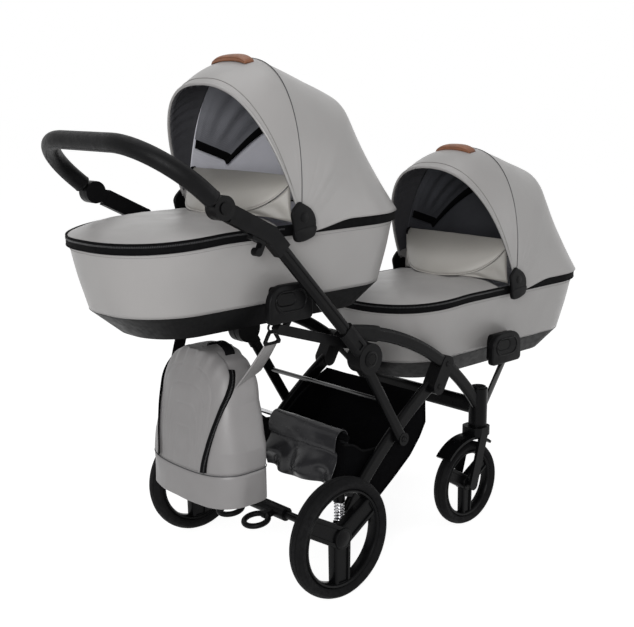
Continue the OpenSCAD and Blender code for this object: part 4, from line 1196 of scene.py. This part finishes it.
class PRAM_OT_frame_finish(bpy.types.Operator):
    """Finishes of the carried-over frame pieces, and their rivets and caps"""
    bl_idname = "pram.frame_finish"
    bl_label = "Frame"

    def execute(self, context):
        look = finishes()
        sides = [word for word, _ in SIDES]
        coats = {
            "tube": ["side_rails", "arch_tubes", "leg_tubes", "front_beam", "rear_axle_frame", "uprights",
                     "handle_tube", *[f"fork_{s}" for s in sides]],
            "gloss": ["leg_crossbar", "front_support_tube"],
            "plastic": ["fold_hubs", "arch_clamps", "brake_pedal", "fold_knuckles", "handle_sockets",
                        *[f"trigger_{s}" for s in sides],
                        *[f"{w}_{p}" for w in COTS for p in ("cot_base", "cot_brackets", "hood_hubs")]],
            "satin": [f"{p}_{s}" for s in sides for p in ("handle_button", "rear_cot_button", "front_cot_button",
                                                          "rear_rim", "front_rim")],
            "chrome": ["rear_springs"], "grip": ["handle_grip"],
            "tyre": [f"{w}_tyre_{s}" for w in COTS for s in sides],
            "basket": ["basket"], "basket_leather": ["basket_flap"], "bag": ["bag", "bag_straps"],
            "leather": [f"{w}_{p}" for w in COTS for p in ("cot_wall", "cot_apron", "hood_front", "hood_rear")],
            "pale": [f"{w}_cot_flap" for w in COTS], "webbing": [f"{w}_cot_trim" for w in COTS],
            "cotton": [f"{w}_cot_mattress" for w in COTS], "brown": [f"{w}_hood_handle" for w in COTS],
        }
        for key, names in coats.items():
            for name in names:
                mesh = NODES[name].data
                mesh.materials.clear()
                mesh.materials.append(look[key])
        left = set(NODES) - {n for names in coats.values() for n in names}
        if left:
            raise RuntimeError(f"no finish for {sorted(left)}")
        low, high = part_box("rear_springs")
        turns, tall = 6, high.z - low.z
        for word, side in SIDES:
            mid = Vector(((low.x + high.x) / 2, side * (high.y - 0.0128), low.z))
            coil = [mid + Vector((0.011 * math.cos(a), 0.011 * math.sin(a),
                                  0.0018 + (tall - 0.0036) * a / (2 * math.pi * turns)))
                    for a in (math.pi / 12 * i for i in range(24 * turns + 1))]
            o = piece(f"rear_spring_{word}", tube_mesh(coil, 0.0018, sides=4), None, look["chrome"], "spring_chrome",
                      ["rear_springs"])
            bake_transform(o)
            # Low domed heads with a ring, each seated on a face of the frame
            for name, x, z, face, radius, high_mm, body in ((n, *row) for n, row in RIVETS.items()):
                r, h = radius / 1000, high_mm / 1000 * side
                profile = [(0.0, -0.0004 * side), (r, -0.0004 * side), (r, h * 0.5), (r * 0.9, h), (r * 0.72, h),
                           (r * 0.66, h * 0.6), (r * 0.6, h), (r * 0.3, h * 1.1), (0.0, h * 1.12)]
                piece(f"{name}_{word}", spun(profile, axle_space(x, side * face, z), 48), body, look["satin"],
                      "black_plastic", crisp=35)
        return {"FINISHED"}


def backdrop_rays(tree):
    """Share of a ray that sees the white backdrop: straight from the camera, or by gloss or glass."""
    ray = node(tree, "LightPath")
    seen = ray.outputs["Is Camera Ray"]
    for kind in ("Is Glossy Ray", "Is Transmission Ray"):
        most = node(tree, "Math")
        most.operation = "MAXIMUM"
        tree.links.new(seen, most.inputs[0])
        tree.links.new(ray.outputs[kind], most.inputs[1])
        seen = most.outputs[0]
    return seen


def show(tree, share, lit, backdrop, output):
    """Sends a lit shader to an output, mixed with the backdrop's by a share."""
    mix = node(tree, "MixShader")
    tree.links.new(share, mix.inputs["Fac"])
    tree.links.new(lit.outputs[0], mix.inputs[1])
    tree.links.new(backdrop.outputs[0], mix.inputs[2])
    tree.links.new(mix.outputs[0], node(tree, output).inputs["Surface"])


class PRAM_OT_stage(bpy.types.Operator):
    """Floor, light and camera"""
    bl_idname = "pram.stage"
    bl_label = "Stage"

    def execute(self, context):
        scene = context.scene
        m = bpy.data.materials.new("pale_floor")
        m.use_nodes = True
        tree = m.node_tree
        tree.nodes.clear()
        share = node(tree, "Math")
        share.operation = "MULTIPLY"
        share.inputs[1].default_value = 0.6
        tree.links.new(backdrop_rays(tree), share.inputs[0])
        show(tree, share.outputs[0], node(tree, "BsdfDiffuse", Color=(0.8, 0.8, 0.8, 1)),
             node(tree, "Emission", Color=WHITE, Strength=1.5), "OutputMaterial")
        bm = bmesh.new()
        bmesh.ops.create_grid(bm, x_segments=1, y_segments=1, size=40)
        piece("floor", bm, None, m)

        world = bpy.data.worlds.new("studio")
        scene.world = world
        world.use_nodes = True
        tree = world.node_tree
        tree.nodes.clear()
        show(tree, backdrop_rays(tree), node(tree, "Background", Color=WHITE, Strength=0.31),
             node(tree, "Background", Color=WHITE, Strength=1.0), "OutputWorld")

        for name, spot, size, power in (("key", (-3.0, -2.2, 1.6), 1.4, 80), ("top", (-0.3, 0.2, 3.6), 2.6, 31),
                                        ("side", (2.4, -3.0, 1.2), 2.0, 21)):
            data = bpy.data.lights.new(name, "AREA")
            data.size = size
            data.energy = power
            lamp = bpy.data.objects.new(name, data)
            scene.collection.objects.link(lamp)
            lamp.location = spot
            lamp.rotation_euler = (Vector((0, 0, 0.6)) - Vector(spot)).to_track_quat("-Z", "Y").to_euler()

        data = bpy.data.cameras.new("photo_view")
        data.sensor_width = 36
        data.sensor_fit = "HORIZONTAL"
        data.lens = data.sensor_width * FOCAL / PHOTO_WIDTH
        data.clip_end = 100
        camera = bpy.data.objects.new("photo_view", data)
        scene.collection.objects.link(camera)
        yaw, pitch, roll = (math.radians(a) for a in CAMERA_TURN)
        look_to = Vector((math.cos(pitch) * math.cos(yaw), math.cos(pitch) * math.sin(yaw), math.sin(pitch)))
        right = look_to.cross(Vector((0, 0, 1))).normalized()
        up = right.cross(look_to)
        c, s = math.cos(roll), math.sin(roll)
        right, up = right * c + up * s, up * c - right * s
        turn = Matrix((right, up, -look_to)).transposed().to_4x4()
        camera.matrix_world = Matrix.Translation(axle_space(*CAMERA_SPOT)) @ turn
        scene.camera = camera
        scene.view_settings.view_transform = "Standard"
        return {"FINISHED"}


class PRAM_PT_looks(bpy.types.Panel):
    """Shows the pram's colours and sizes, and a button for each of its steps"""
    bl_idname = "PRAM_PT_looks"
    bl_label = "Tandem pram"
    bl_space_type = "VIEW_3D"
    bl_region_type = "UI"
    bl_category = "Pram"

    def draw(self, context):
        for group in (context.scene.pram_colours, context.scene.pram_sizes):
            for key in group.__annotations__:
                self.layout.prop(group, key)
        for operator in OPERATORS:
            self.layout.operator(operator.bl_idname)


OPERATORS = (PRAM_OT_stage, PRAM_OT_frame_finish, PRAM_OT_wheels, PRAM_OT_carrycots, PRAM_OT_hoods,
             PRAM_OT_brackets, PRAM_OT_bag, PRAM_OT_basket, PRAM_OT_handle)
CLASSES = (PramColours, PramSizes, *OPERATORS, PRAM_PT_looks)


def register():
    for c in CLASSES:
        bpy.utils.register_class(c)
    bpy.types.Scene.pram_colours = PointerProperty(type=PramColours)
    bpy.types.Scene.pram_sizes = PointerProperty(type=PramSizes)


def unregister():
    del bpy.types.Scene.pram_sizes
    del bpy.types.Scene.pram_colours
    for c in reversed(CLASSES):
        bpy.utils.unregister_class(c)


def main():
    register()
    bpy.ops.pram.stage()
    bpy.ops.pram.frame_finish()
    bpy.ops.pram.wheels()
    bpy.ops.pram.carrycots()
    bpy.ops.pram.hoods()
    bpy.ops.pram.brackets()
    bpy.ops.pram.bag()
    bpy.ops.pram.basket()
    bpy.ops.pram.handle()


if __name__ == "__main__":
    main()
